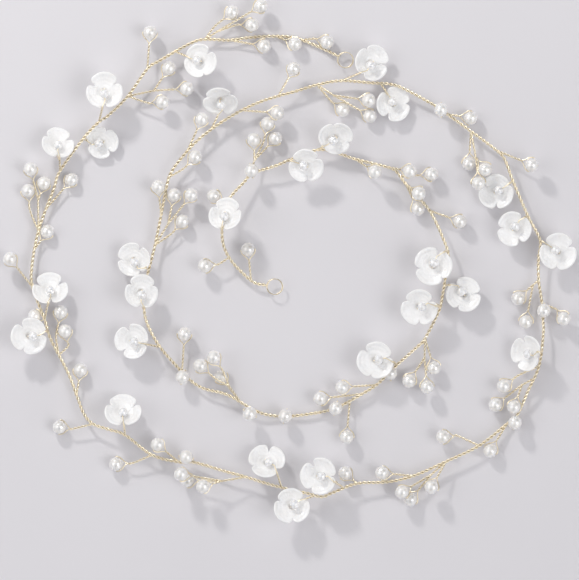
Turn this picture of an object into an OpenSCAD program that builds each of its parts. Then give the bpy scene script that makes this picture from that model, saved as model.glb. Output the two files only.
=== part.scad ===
// Bridal hair vine, lying coiled: a twisted gold wire stem in one turn and a half,
// with short twigs that carry pearls and three-petalled flowers, and an eye at each end.
// Millimetres, +Z up, the surface that it lies on at z = 0.

/* [Coil] */
// Width of the whole vine as it lies coiled
laid_w = 207; // [200:0.5:225]
// How much higher the highest flower sits than the lowest one could
lift = 10; // [8:0.5:13]

/* [Wire] */
// Thickness of the twisted stem
stem_d = 0.9; // [0.7:0.05:1.1]
// Thickness of a twisted twig
twig_d = 0.6; // [0.45:0.05:0.7]
// Thickness of one bare strand
strand_d = 0.3; // [0.2:0.05:0.35]
// Gap that the wire keeps from a pearl or a petal
wire_gap = 0.12; // [0.1:0.01:0.2]

/* [Pearls] */
// Diameter of a twig's pearl
pearl_d = 5; // [4.4:0.1:5.1]
// Hole through a twig's pearl
pearl_hole = 0.8; // [0.6:0.1:1.2]
// Diameter of the small pearl at a flower's heart
heart_d = 3.2; // [2.6:0.1:3.6]
// Hole through a heart's pearl
heart_hole = 0.7; // [0.5:0.1:1]
// How far a heart's pearl is pulled towards its twig
heart_pull = 1.2; // [1:0.1:1.4]

/* [Flowers] */
// Diameter of a flower over its petal tips
flower_d = 13.5; // [12:0.1:14]
// Wall of the petals
petal_wall = 0.6; // [0.5:0.05:0.8]
// Hole at a flower's middle
flower_hole = 1.2; // [1.1:0.1:1.6]
// Radius of the round corners of a petal
corner_r = 2.3; // [1.8:0.1:2.4]
// Half the angle that the outer edge of a petal spans before its corners
petal_spread = 30; // [24:1:34]
// Radius of the dish that each petal is hollowed to
dish_r = 8.5; // [7.5:0.1:12]
// How far the lowest point of a petal's dish lies from the heart
dish_off = 1.4; // [0.8:0.1:2]
// Sideways shift of the dish, which laps each petal over the next
dish_turn = 0.3; // [0:0.05:0.4]

/* [End eyes] */
// Inside diameter of the round wire eye at each end
eye_d = 5; // [4:0.1:6]
// Thickness of the doubled wire of an eye
eye_wire = 0.6; // [0.5:0.05:0.8]
// Length of the twisted neck between an eye and the stem
eye_neck = 0.8; // [0.5:0.1:2]

/* [Hidden] */
// Names of the pieces

// Smoothness of round surfaces, sides of a wire and of a bare strand, steps between route points
$fn = 32;
wire_sides = 5;
strand_sides = 4;
route_steps = 2;
// Degrees that a wire's edges are turned about its line for each millimetre of its thickness,
// so that the edges of a twig and of its bare strand cross well apart
ring_turn = 118;

// Plan points are squares of a grid laid over the vine, x to the right and y towards the viewer's
// feet, with plan_across squares over its width. A rise is a share of lift, in hundredths.
plan_across = 574;
plan_middle = [290.1, 261];

// The stem's route from the outer eye to the inner one: plan x, plan y, rise
route = [
    [336, 55, 20], [326, 50, 14], [310, 43, 10], [294, 37.5, 8], [276, 36, 8], [253, 37, 12],
    [229, 40, 25], [205, 39.3, 30], [190, 43.5, 38], [160.7, 60, 50], [147.3, 69, 50],
    [127.6, 96.3, 42], [108, 115.7, 45], [98.9, 122, 54], [84, 137.7, 50], [60, 170.8, 28],
    [53.6, 188.7, 25], [38.3, 230.8, 22], [31.9, 266, 26], [32.5, 287, 30], [44.6, 319.5, 36],
    [50.4, 338.7, 34], [67.6, 372, 28], [76.5, 395, 26], [84, 414, 33], [93, 424, 40],
    [108.4, 429.3, 48], [125, 435, 50], [152, 455, 42], [178.6, 462, 25], [194, 462.4, 25],
    [226, 471.6, 42], [246, 477, 42], [270, 484.5, 45], [292, 490, 48], [308, 493.5, 50],
    [321.7, 496.8, 50], [333, 492.6, 48], [357, 483.6, 42], [387, 482, 32], [413, 476, 32],
    [446, 461.6, 36], [479, 445.7, 34], [507, 424, 18], [517, 415.5, 14], [528.5, 390, 35],
    [539, 366, 45], [543.3, 335, 38], [543, 318, 20], [542.2, 304, 18], [538.7, 280, 35],
    [538.5, 258, 42], [540, 240, 45], [528, 216, 42], [513, 181, 36], [505, 160, 38],
    [496.8, 150.5, 40], [471, 131.3, 38], [447, 114, 34], [438, 107.3, 34], [403, 88.2, 48],
    [387.6, 83.8, 38], [371, 82.8, 30], [341.4, 80.7, 35], [317, 84.8, 35], [296.5, 91, 38],
    [258.6, 102.4, 42], [226, 119.3, 40], [198, 140, 45], [179, 161, 40], [170.5, 173.5, 38],
    [166.5, 187, 36], [155, 245, 36], [145.5, 283, 48], [144, 305.5, 50], [147, 323, 50],
    [160, 347, 46], [182, 372, 15], [191, 381, 18], [204, 388.7, 30], [227.7, 395, 38],
    [252, 409, 34], [266, 414.5, 22], [285, 416.5, 12], [310, 414, 16], [336, 408, 12],
    [362, 394, 28], [376.4, 385, 20], [388, 374, 5], [397, 365, 15], [417, 347, 42],
    [425, 338.4, 48], [438, 313, 56], [441.5, 301, 56], [446.5, 270, 56], [448.3, 256, 55],
    [445.4, 244, 52], [429.5, 210.6, 47], [405.4, 183.5, 40], [397, 172, 38], [387, 167, 38],
    [355, 159, 39], [336, 152.7, 36], [317.5, 149.8, 42], [290.8, 159.5, 58], [275, 166, 54],
    [260, 170.5, 46], [251, 172.5, 44], [245, 181, 48], [227, 203, 68], [222, 234, 66],
    [229, 257.5, 45], [251, 280.5, 28], [264, 285, 26]
];
// Route point at which the outer turn of the stem ends and the inner one begins
route_split = 65;

// Places where several twigs part from one stalk: plan x, plan y, rise, plan x and y on the stem
outer_forks = [
    [217, 31.5, 34, 205, 39], [153.7, 90.6, 35, 127.6, 97], [38, 200, 30, 38, 231],
    [222, 481, 60, 246, 477], [431, 475, 30, 446, 462], [522, 385, 28, 534, 378],
    [533, 285, 24, 539, 281], [476, 158, 40, 471, 132], [334, 95.5, 36, 317, 85]
];
inner_forks = [
    [168, 224, 40, 155, 245], [229, 386, 64, 239, 400], [424.5, 358, 34, 425, 339],
    [254.5, 160, 40, 252, 172]
];

// Twigs with a pearl: plan x and y and rise of the pearl, a plan point on the way,
// and the plan point where the twig leaves the stem or a fork.
// A row of two numbers is a pearl that sits right on the stem.
outer_pearls = [
    [327, 42, 5, 314, 38.5, 300, 40], [295, 44, 11, 286, 39, 277, 36.5],
    [264, 46, 9, 248, 42, 230, 40], [252, 25, 25, 236, 25, 217, 31.5],
    [261, 6, 35, 233, 22, 217, 31.5], [232, 12, 20, 214, 27, 206, 38],
    [150, 32.5, 25, 148.5, 50, 147.3, 69], [169, 68, 15, 164, 77, 153.7, 90.6],
    [187, 88.6, 15, 175, 88, 153.7, 90.6], [162.6, 102, 35, 148, 103, 128, 98],
    [71.4, 179.7, 0, 63, 190, 50, 201], [44, 183, 15, 41, 192, 38, 200],
    [30.6, 169, 25, 35, 185, 38, 200], [28, 190.6, 5, 30, 211, 37, 231],
    [47, 231.4, 0, 43, 240, 34, 256], [10, 259, 39, 19, 270, 31, 285],
    [60.6, 312, 20, 56, 337, 62, 362], [65, 331, 23, 68, 346, 63, 361],
    [34.4, 316, 0, 40, 320, 45.5, 321], [80.4, 370, 4, 79.7, 381, 77, 397],
    [59.3, 427, 6, 72, 429, 92, 423], [116, 464, 4, 133, 463, 152, 456],
    [157.5, 444.6, 30, 166, 453, 177, 460], [186.3, 455],
    [181, 474, 79, 202, 476, 222, 481], [187.6, 480.5, 14, 205, 482, 222, 481],
    [203, 486.3, 68, 212, 485, 222, 481], [345, 473, 15, 352, 477, 356, 483],
    [382, 473, 17, 396, 476, 411, 476.5], [402, 492, 38, 417, 484, 431, 475],
    [410.5, 499.6, 0, 419, 488, 431, 475], [431.4, 487, 43, 436.5, 478, 443.5, 465],
    [442.8, 436.8, 15, 458, 436, 478, 445], [490.4, 450.8, 6, 497, 441, 508, 425],
    [515, 422.5], [514, 407, 26, 519, 397, 522, 385],
    [495.5, 405, 6, 510, 395, 522, 385], [503.7, 386, 20, 519, 375, 536, 371],
    [526, 322, 5, 530, 305, 533, 285], [518.3, 298.4, 0, 525, 290, 533, 285],
    [543.7, 310.5], [564, 318.7, 25, 556, 309, 542, 299],
    [478.4, 183.3, 44, 478, 171, 476, 158], [485.3, 169.3, 38, 480, 164, 476, 158],
    [469, 163.6, 3, 468.5, 150, 468, 130.5], [531.7, 165, 45, 515, 157, 499, 151.5],
    [470.7, 118, 9, 461, 117, 448, 113], [441, 109.8], [370, 116, 6, 353, 106, 334, 95.5],
    [368.7, 100.3, 30, 352, 98.5, 334, 95.5], [342.8, 110, 3, 331, 101, 317, 85.5]
];
inner_pearls = [
    [293.7, 68.8, 53, 287, 80, 279, 96], [277.5, 113, 38, 260, 111, 242, 110],
    [201.7, 119.3, 25, 197, 132, 189, 149], [195.3, 157, 25, 183, 169, 169, 176],
    [158.2, 186.8, 35, 160.5, 197, 162, 210], [174, 195, 15, 171, 210, 168, 224],
    [191.3, 195, 35, 181, 206, 168, 224], [182.4, 221.2, 10, 171, 234, 156, 244],
    [184.5, 334, 15, 182.5, 352, 181, 370], [182.5, 377], [200.3, 365.6, 40, 216, 379, 229, 386],
    [213.7, 357.2, 50, 223, 371, 229, 386], [220.7, 376.8, 5, 227, 383, 239, 400],
    [248.8, 415.4], [285.2, 416], [335.7, 408.4], [320.3, 398.6, 20, 337, 397, 357, 397],
    [342, 387.3, 30, 360, 385, 377, 384], [346.7, 437.2, 15, 347, 422, 350, 402],
    [390.5, 373.3], [409.2, 381, 15, 416, 370, 424.5, 358], [427, 387, 31, 427, 373, 424.5, 358],
    [434, 368, 12, 430, 356, 425.5, 339], [460, 221.4, 14, 446, 215, 430.5, 210],
    [418, 208.7, 5, 413, 198, 405, 184], [418.7, 193.5, 60, 412, 186, 405, 184],
    [431.4, 174.4, 16, 417, 175.5, 399, 176], [409.8, 171.2, 48, 400, 169, 388, 167],
    [375, 172, 67, 367, 168, 358, 161], [253.7, 139.5, 25, 253.3, 149, 254.5, 160],
    [267.7, 123.5, 15, 263, 143, 254.5, 160], [275.4, 138.3, 0, 267, 149, 254.5, 160],
    [251.6, 170.7], [213.7, 196, 40, 219, 204, 226, 208], [204.6, 266, 25, 219, 264, 233, 263],
    [247.3, 249.3, 15, 248, 264, 249, 280]
];

// Flowers: plan x and y and rise of the heart, angle of one petal, how far the flower leans over
// and the plan angle to which it faces, its size in hundredths of flower_d,
// and the plan point where its twig leaves the stem
outer_flowers = [
    [201, 61, 62, 105, 15, 180, 92, 176, 51], [104.6, 91, 85, 93, 5, 90, 100, 99, 122],
    [102, 142, 10, 130, 8, 270, 88, 80, 143], [57.4, 144, 40, 85, 25, 60, 90, 60, 171],
    [50, 290, 28, 95, 28, 90, 98, 43, 315], [29, 336, 61, 65, 8, 0, 100, 49, 333],
    [123, 412, 54, 90, 30, 90, 100, 125, 435], [266.6, 462.4, 37, 140, 28, 90, 100, 281, 487],
    [291.3, 506.6, 62, 95, 10, 60, 98, 314, 495], [319.3, 475.8, 81, 58, 12, 180, 101, 342, 489],
    [527.6, 353, 51, 45, 36, 180, 97, 541, 358], [557.7, 252, 47, 85, 5, 0, 102, 540, 240],
    [514.3, 229, 39, 115, 10, 180, 95, 529, 218], [496.4, 191.8, 18, 90, 8, 200, 96, 514, 184],
    [393, 104, 16, 62, 12, 0, 95, 380, 83.5], [371, 62.7, 45, 52, 20, 0, 98, 342, 81]
];
inner_flowers = [
    [220.4, 99.5, 60, 100, 42, 265, 96, 216, 126], [134, 259.5, 30, 120, 12, 180, 92, 148, 272],
    [141, 291.5, 65, 85, 12, 0, 93, 144, 306], [132.7, 341, 42, 48, 15, 180, 96, 159, 346],
    [375, 360.3, 56, 73, 5, 0, 101, 396, 366], [419, 307.3, 74, 90, 10, 270, 100, 440, 308],
    [463.8, 295, 35, 65, 12, 90, 97, 445, 279], [432.7, 266.4, 75, 128, 5, 90, 104, 447, 250],
    [335.7, 136.8, 57, 38, 24, 270, 94, 320, 149], [306, 165, 74, 95, 20, 270, 96, 289, 160],
    [226.3, 215, 100, 80, 24, 135, 93, 222, 234]
];

// Where the lowest flower's heart lies over the surface
flower_rest = 1.4;
// Angle between a flower's petals, and the share of it by which neighbours lap
petal_pitch = 120;
petal_lap = 2;
// The corner circles' centres, and the radius at which two of them meet in a notch.
// A corner stands out past the petal's edge by corner_out.
corner_out = 0.02;
corner_at = flower_d / 2 - corner_r + corner_out;
notch_at = corner_at * cos(petal_pitch / 2 - petal_spread);
// Height of a dish's centre over the heart
dish_h = sqrt(dish_r * dish_r - dish_off * dish_off - dish_turn * dish_turn);
// Height of a heart's pearl over the heart
heart_h = heart_d / 2 + 2 * wire_gap;

// A loop of strand round a bead, as shares of its tightest radius: the neck where it opens,
// and the bend on each side, which stands at bend_angle from the neck
neck_share = 1.36;
bend_share = 1.13;
bend_angle = 60;
function loop_r(bead_d) = bead_d / 2 + wire_gap + strand_d / 2;

gold = [0.86, 0.70, 0.40];
ivory = [0.95, 0.93, 0.87];
shell = [0.97, 0.97, 0.96];

// Plan points and heights
function plan(x, y) = laid_w / plan_across * [x - plan_middle[0], plan_middle[1] - y];
function at_height(p, z) = [p[0], p[1], z];
function raised(rise) = lift * rise / 100;
function flat(p) = [p[0], p[1]];
function unit(v) = v / norm(v);

// A smooth curve through points, with steps pieces between two of them
function curve(points, steps) = [
    for (i = [0:len(points) - 2])
        let (
            before = points[max(i - 1, 0)],
            here = points[i],
            there = points[i + 1],
            after = points[min(i + 2, len(points) - 1)]
        )
        for (k = [0:steps - 1])
            let (t = k / steps)
            here + (there - before) * t / 2
            + (2 * before - 5 * here + 4 * there - after) * t * t / 2
            + (3 * here - before - 3 * there + after) * t * t * t / 2,
    points[len(points) - 1]
];

route_points = [for (p = route) at_height(plan(p[0], p[1]), stem_d / 2 + raised(p[2]))];
stem_line = curve(route_points, route_steps);
stem_split = route_split * route_steps;
outer_stem = [for (i = [0:stem_split]) stem_line[i]];
// The inner turn sets out straight on from the outer one, so that their cut faces meet flat
inner_stem = [
    stem_line[stem_split],
    stem_line[stem_split] + stem_d * unit(stem_line[stem_split] - stem_line[stem_split - 1]),
    for (i = [stem_split + 1:len(stem_line) - 1]) stem_line[i]
];

// The point of a list that is nearest to a plan point
function nearest(points, p, i = 0, best = 0) =
    i == len(points) ? points[best]
    : nearest(points, p, i + 1, norm(flat(points[i]) - p) < norm(flat(points[best]) - p) ? i : best);

// Forks, and the anchors that a twig can leave from
function fork_points(forks) =
    [for (f = forks) at_height(plan(f[0], f[1]), stem_d / 2 + raised(f[2]))];
outer_anchors = concat(outer_stem, fork_points(outer_forks));
inner_anchors = concat(inner_stem, fork_points(inner_forks));

// Centre, anchor and way point of a pearl's twig
function sits_on_stem(row) = len(row) == 2;
function pearl_root(row, anchors) =
    sits_on_stem(row) ? nearest(anchors, plan(row[0], row[1]))
    : nearest(anchors, plan(row[5], row[6]));
function pearl_centre(row, anchors) =
    let (p = plan(row[0], row[1]), reach = neck_share * loop_r(pearl_d))
    sits_on_stem(row) ?
        let (root = pearl_root(row, anchors), aside = min(norm(p - flat(root)), reach / 2))
        at_height(flat(root) + aside * unit(p - flat(root)), root[2] + sqrt(reach * reach - aside * aside))
    : at_height(p, pearl_d / 2 + raised(row[2]));
// The way point is left out where it lies inside the strand's loop or hardly off the straight line
function pearl_via(row, centre, root) =
    let (
        via = at_height(plan(row[3], row[4]), (centre[2] + root[2]) / 2),
        off = norm(cross(via - centre, unit(root - centre)))
    )
    norm(via - centre) > neck_share * loop_r(pearl_d) + twig_d && off > twig_d ? via : root;

// A flower's own frame: turn points by its lean and set them at its heart
function flower_heart(row) = at_height(plan(row[0], row[1]), flower_rest + raised(row[2]));
function flower_turn(row, p) =
    let (
        face = row[5],
        lean = row[4],
        a = [cos(face) * p[0] + sin(face) * p[1], cos(face) * p[1] - sin(face) * p[0], p[2]],
        b = [cos(lean) * a[0] + sin(lean) * a[2], a[1], cos(lean) * a[2] - sin(lean) * a[0]]
    )
    [cos(face) * b[0] - sin(face) * b[1], sin(face) * b[0] + cos(face) * b[1], b[2]];
function flower_size(row) = row[6] / 100;
// Plan angle of the notch that is nearest to the twig
function flower_notch(row) =
    let (
        away = plan(row[7], row[8]) - plan(row[0], row[1]),
        first = row[3] + petal_pitch / 2
    )
    first + petal_pitch * round((atan2(away[1], away[0]) - first) / petal_pitch);
// A point of a flower by its distance along the notch, to the side of it and over the heart
function flower_point(row, along, aside, up) =
    let (a = flower_notch(row))
    flower_heart(row) + flower_turn(row,
        [along * cos(a) - aside * sin(a), along * sin(a) + aside * cos(a), up]);
function heart_centre(row) = flower_point(row, heart_pull, 0, heart_h);

// Rings of a wire along a path, each in the plane that halves the bend
function across(v) = unit(cross(v, abs(v[2]) < 0.9 ? [0, 0, 1] : [1, 0, 0]));
function slid(p, middle, along, facing) = p - along * ((p - middle) * facing) / (along * facing);
function path_step(path, i) = unit(path[i + 1] - path[i]);
function facing_at(path, i, closed) =
    let (last = len(path) - 1)
    closed && (i == 0 || i == last) ? unit(path_step(path, last - 1) + path_step(path, 0))
    : i == 0 ? path_step(path, 0)
    : i == last ? path_step(path, last - 1)
    : unit(path_step(path, i - 1) + path_step(path, i));
function first_ring(path, d, sides, closed) =
    let (along = path_step(path, 0), side = across(along), up = cross(side, along))
    [for (k = [0:sides - 1])
        let (a = 360 * k / sides + ring_turn * d)
        slid(path[0] + d / 2 * (cos(a) * side + sin(a) * up), path[0], along,
            facing_at(path, 0, closed))];
function next_ring(ring, path, i, closed) =
    [for (p = ring) slid(p, path[i], path_step(path, i - 1), facing_at(path, i, closed))];
function rings(path, d, sides, closed = false) = [
    for (
        i = 0, ring = first_ring(path, d, sides, closed);
        i < len(path);
        i = i + 1, ring = i < len(path) ? next_ring(ring, path, i, closed) : ring
    ) ring
];
function ring_faces(i, j, sides) =
    [for (k = [0:sides - 1])
        [i * sides + k, i * sides + (k + 1) % sides, j * sides + (k + 1) % sides, j * sides + k]];
function side_faces(count, sides) = [for (i = [0:count - 2]) each ring_faces(i, i + 1, sides)];
function end_faces(count, sides) = [
    [for (k = [sides - 1:-1:0]) k],
    [for (k = [0:sides - 1]) (count - 1) * sides + k]
];

// A wire with two ends
module wire(path, d) {
    drawn = rings(path, d, wire_sides);
    polyhedron([for (r = drawn) each r],
        concat(side_faces(len(path), wire_sides), end_faces(len(path), wire_sides)), convexity = 10);
}

// A straight wire
module straight(from, to, d) {
    hull() wire([from, to], d);
}

// A strand that runs back into its own start, where the path's first and last point are the same
module loop(path, d) {
    count = len(path) - 1;
    drawn = rings(path, d, strand_sides, closed = true);
    polyhedron([for (i = [0:count - 1]) each drawn[i]],
        concat(side_faces(count, strand_sides), ring_faces(count - 1, 0, strand_sides)), convexity = 10);
}

// The strand that opens from a twig's end, hugs a pearl and passes through its hole
module pearl_loop(centre, neck) {
    down = unit(neck - centre);
    side = across(down);
    r = loop_r(pearl_d);
    bend = bend_share * r;
    loop([
        neck,
        centre + bend * (cos(bend_angle) * down + sin(bend_angle) * side),
        centre + r * side,
        centre - r * side,
        centre + bend * (cos(bend_angle) * down - sin(bend_angle) * side),
        neck
    ], strand_d);
}

module pearl_twig(row, anchors) {
    centre = pearl_centre(row, anchors);
    root = pearl_root(row, anchors);
    reach = neck_share * loop_r(pearl_d);
    if (sits_on_stem(row)) {
        pearl_loop(centre, root);
    } else {
        via = pearl_via(row, centre, root);
        neck = centre + reach * unit(via - centre);
        wire(via == root ? [root, neck] : [root, via, neck], twig_d);
        pearl_loop(centre, neck);
    }
}

// The twig of a flower ends at a notch. There its strands part: one runs over the petals and through
// the heart's pearl, then down through the flower's hole and back to the notch behind the petals.
module flower_twig(row, anchors) {
    size = flower_size(row);
    neck = flower_point(row, size * flower_d * 0.51, 0, size * flower_d / 15);
    reach = loop_r(heart_d) * 1.06;
    under = size * petal_wall * 1.2 + wire_gap + strand_d;
    straight(nearest(anchors, plan(row[7], row[8])), neck, twig_d);
    loop([
        neck,
        flower_point(row, heart_pull + reach, 0, heart_h),
        flower_point(row, heart_pull - reach, 0, heart_h),
        flower_point(row, 0, 0, -under),
        flower_point(row, size * flower_d * 0.4, 0, -under * 0.4),
        neck
    ], strand_d);
}

module fork_stalk(row, anchors) {
    root = nearest(anchors, plan(row[3], row[4]));
    tip = at_height(plan(row[0], row[1]), stem_d / 2 + raised(row[2]));
    straight(root, tip + twig_d / 2 * unit(tip - root), twig_d);
}

module wire_turn(stem, anchors, forks, pearls, flowers) {
    color(gold) {
        wire(stem, stem_d);
        for (row = forks) fork_stalk(row, stem);
        for (row = pearls) pearl_twig(row, anchors);
        for (row = flowers) flower_twig(row, anchors);
    }
}

module wire_outer() {
    wire_turn(outer_stem, outer_anchors, outer_forks, outer_pearls, outer_flowers);
}

module wire_inner() {
    wire_turn(inner_stem, inner_anchors, inner_forks, inner_pearls, inner_flowers);
}

// A round eye of doubled wire, on a neck that meets the end of the stem
module eye(end, before) {
    way = end - before;
    ring_r = (eye_d + eye_wire) / 2;
    color(gold)
        translate(end)
            rotate([0, -atan2(way[2], norm(flat(way))), atan2(way[1], way[0])]) {
                rotate([0, 90, 0]) cylinder(d = stem_d, h = eye_neck + eye_wire / 2);
                translate([eye_neck + ring_r + eye_wire / 2, 0, 0])
                    rotate_extrude() translate([ring_r, 0]) circle(d = eye_wire);
            }
}

module eye_outer() {
    eye(outer_stem[0], outer_stem[1]);
}

module eye_inner() {
    last = len(inner_stem) - 1;
    eye(inner_stem[last], inner_stem[last - 1]);
}

// A round bead, drilled along the given line
module bead(centre, along, d, hole) {
    translate(centre)
        rotate([0, acos(along[2]), atan2(along[1], along[0])])
            difference() {
                sphere(d = d);
                cylinder(d = hole, h = 2 * d, center = true);
            }
}

module pearls(rows, anchors) {
    color(ivory)
        for (row = rows) {
            centre = pearl_centre(row, anchors);
            root = pearl_root(row, anchors);
            towards = sits_on_stem(row) ? root : pearl_via(row, centre, root);
            bead(centre, across(unit(towards - centre)), pearl_d, pearl_hole);
        }
}

module pearls_outer() {
    pearls(outer_pearls, outer_anchors);
}

module pearls_inner() {
    pearls(inner_pearls, inner_anchors);
}

module hearts(rows) {
    color(ivory)
        for (row = rows)
            bead(heart_centre(row),
                unit(flower_point(row, 1, 0, 0) - flower_point(row, 0, 0, 0)), heart_d, heart_hole);
}

module hearts_outer() {
    hearts(outer_flowers);
}

module hearts_inner() {
    hearts(inner_flowers);
}

// Outline of one petal: a broad outer edge between two round corners, down to the heart
module petal_outline() {
    lap = petal_pitch / 2 + petal_lap;
    intersection() {
        union() {
            circle(r = notch_at);
            intersection() {
                circle(d = flower_d);
                polygon([[0, 0], for (s = [-1, 1]) flower_d * [cos(petal_spread), s * sin(petal_spread)]]);
            }
            for (s = [-1, 1])
                rotate(s * petal_spread) translate([corner_at, 0]) circle(r = corner_r);
        }
        polygon(flower_d * [[0, 0], [cos(lap), -sin(lap)], [1, -1], [1, 1], [cos(lap), sin(lap)]]);
    }
}

// A petal is cut from a thin round dish
module petal() {
    intersection() {
        translate([dish_off, dish_turn, dish_h])
            difference() {
                sphere(r = dish_r + petal_wall);
                sphere(r = dish_r);
            }
        translate([0, 0, -flower_d / 4])
            linear_extrude(height = flower_d / 4 + dish_h) petal_outline();
    }
}

module flower(row) {
    face = row[5];
    color(shell)
        translate(flower_heart(row))
            rotate([0, 0, face]) rotate([0, row[4], 0]) rotate([0, 0, row[3] - face])
                scale(flower_size(row))
                    difference() {
                        for (k = [0:2]) rotate(k * petal_pitch) petal();
                        cylinder(d = flower_hole / flower_size(row), h = flower_d / 2, center = true);
                    }
}

wire_outer();
wire_inner();
eye_outer();
eye_inner();
pearls_outer();
pearls_inner();
hearts_outer();
hearts_inner();
flower(outer_flowers[0]);  // flower_01
flower(outer_flowers[1]);  // flower_02
flower(outer_flowers[2]);  // flower_03
flower(outer_flowers[3]);  // flower_04
flower(outer_flowers[4]);  // flower_05
flower(outer_flowers[5]);  // flower_06
flower(outer_flowers[6]);  // flower_07
flower(outer_flowers[7]);  // flower_08
flower(outer_flowers[8]);  // flower_09
flower(outer_flowers[9]);  // flower_10
flower(outer_flowers[10]);  // flower_11
flower(outer_flowers[11]);  // flower_12
flower(outer_flowers[12]);  // flower_13
flower(outer_flowers[13]);  // flower_14
flower(outer_flowers[14]);  // flower_15
flower(outer_flowers[15]);  // flower_16
flower(inner_flowers[0]);  // flower_17
flower(inner_flowers[1]);  // flower_18
flower(inner_flowers[2]);  // flower_19
flower(inner_flowers[3]);  // flower_20
flower(inner_flowers[4]);  // flower_21
flower(inner_flowers[5]);  // flower_22
flower(inner_flowers[6]);  // flower_23
flower(inner_flowers[7]);  // flower_24
flower(inner_flowers[8]);  // flower_25
flower(inner_flowers[9]);  // flower_26
flower(inner_flowers[10]);  // flower_27
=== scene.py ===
"""Visual model of a coiled bridal hair vine: twisted gold wire, pearls and three-petalled flowers.

The tables and sizes are in millimetres and plan squares, as in the part's source. Every mesh is in
metres, in the row frame.
"""

import logging
import math
from dataclasses import dataclass, field
from enum import Enum
from typing import ClassVar, NamedTuple, Sequence

import bpy
import numpy as np
from bpy.types import Material, Node, NodeTree, Object
from bpy.types import NodeSocket as Socket
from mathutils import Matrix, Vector


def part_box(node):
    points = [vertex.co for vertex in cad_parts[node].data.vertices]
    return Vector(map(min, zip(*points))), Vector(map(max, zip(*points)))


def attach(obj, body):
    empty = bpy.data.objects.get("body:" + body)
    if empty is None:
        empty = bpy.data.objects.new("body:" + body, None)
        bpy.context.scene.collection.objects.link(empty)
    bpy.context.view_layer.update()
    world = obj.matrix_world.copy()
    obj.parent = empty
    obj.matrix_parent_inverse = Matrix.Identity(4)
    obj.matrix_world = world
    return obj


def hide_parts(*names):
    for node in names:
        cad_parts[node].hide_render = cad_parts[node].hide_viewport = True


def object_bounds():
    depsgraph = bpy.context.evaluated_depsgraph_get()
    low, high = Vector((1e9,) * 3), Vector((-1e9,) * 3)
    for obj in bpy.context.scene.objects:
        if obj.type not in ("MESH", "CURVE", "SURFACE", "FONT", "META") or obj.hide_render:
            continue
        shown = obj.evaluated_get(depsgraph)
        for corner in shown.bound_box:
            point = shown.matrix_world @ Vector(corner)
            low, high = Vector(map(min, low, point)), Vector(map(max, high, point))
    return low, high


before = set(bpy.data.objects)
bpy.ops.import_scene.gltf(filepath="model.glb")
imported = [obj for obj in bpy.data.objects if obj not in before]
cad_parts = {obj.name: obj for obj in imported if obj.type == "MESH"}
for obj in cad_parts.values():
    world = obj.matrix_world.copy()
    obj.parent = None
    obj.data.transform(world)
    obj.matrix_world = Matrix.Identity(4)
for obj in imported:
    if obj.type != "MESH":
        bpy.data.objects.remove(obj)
cad_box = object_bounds()

log = logging.getLogger("hair_vine")
MM = 0.001
# On the wire this attribute holds how deep each point lies between twisted strands, and the gold finish
# paints shade there.
WIRE_MARK = "place"
PETAL_MARK = "petal_place"

Array = np.ndarray
Colour = tuple[float, float, float]
Inputs = dict[str | int, object]


# Tables of places


class Turn(Enum):
    """The two turns of the coil, which are nodes of their own."""

    OUTER = "outer"
    INNER = "inner"


class RoutePoint(NamedTuple):
    """A point of the stem's route: plan place and rise."""

    x: float
    y: float
    rise: float


class Fork(NamedTuple):
    """A place where several twigs part from one stalk, and the plan point of its root."""

    x: float
    y: float
    rise: float
    root_x: float
    root_y: float


class PearlTwig(NamedTuple):
    """A twig with a pearl. Without a root it is a pearl that sits right on the stem."""

    x: float
    y: float
    rise: float = 0.0
    via_x: float = 0.0
    via_y: float = 0.0
    root_x: float | None = None
    root_y: float = 0.0

    @property
    def on_stem(self) -> bool:
        """Whether the pearl sits right on the stem."""
        return self.root_x is None


class FlowerRow(NamedTuple):
    """A flower: place and rise of its heart, one petal's angle, its lean and the way that it faces,
    its size in hundredths and the plan point of its root."""

    x: float
    y: float
    rise: float
    spin: float
    lean: float
    face: float
    size: float
    root_x: float
    root_y: float


def table(kind: type, outer: Sequence[tuple], inner: Sequence[tuple]) -> dict[Turn, list]:
    """Rows of both turns.

    Args:
        kind: what each row becomes.
        outer: the outer turn's rows.
        inner: the inner turn's rows.

    Returns:
        The rows by turn.
    """
    return {turn: [kind(*row) for row in rows] for turn, rows in zip(Turn, (outer, inner))}


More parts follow.
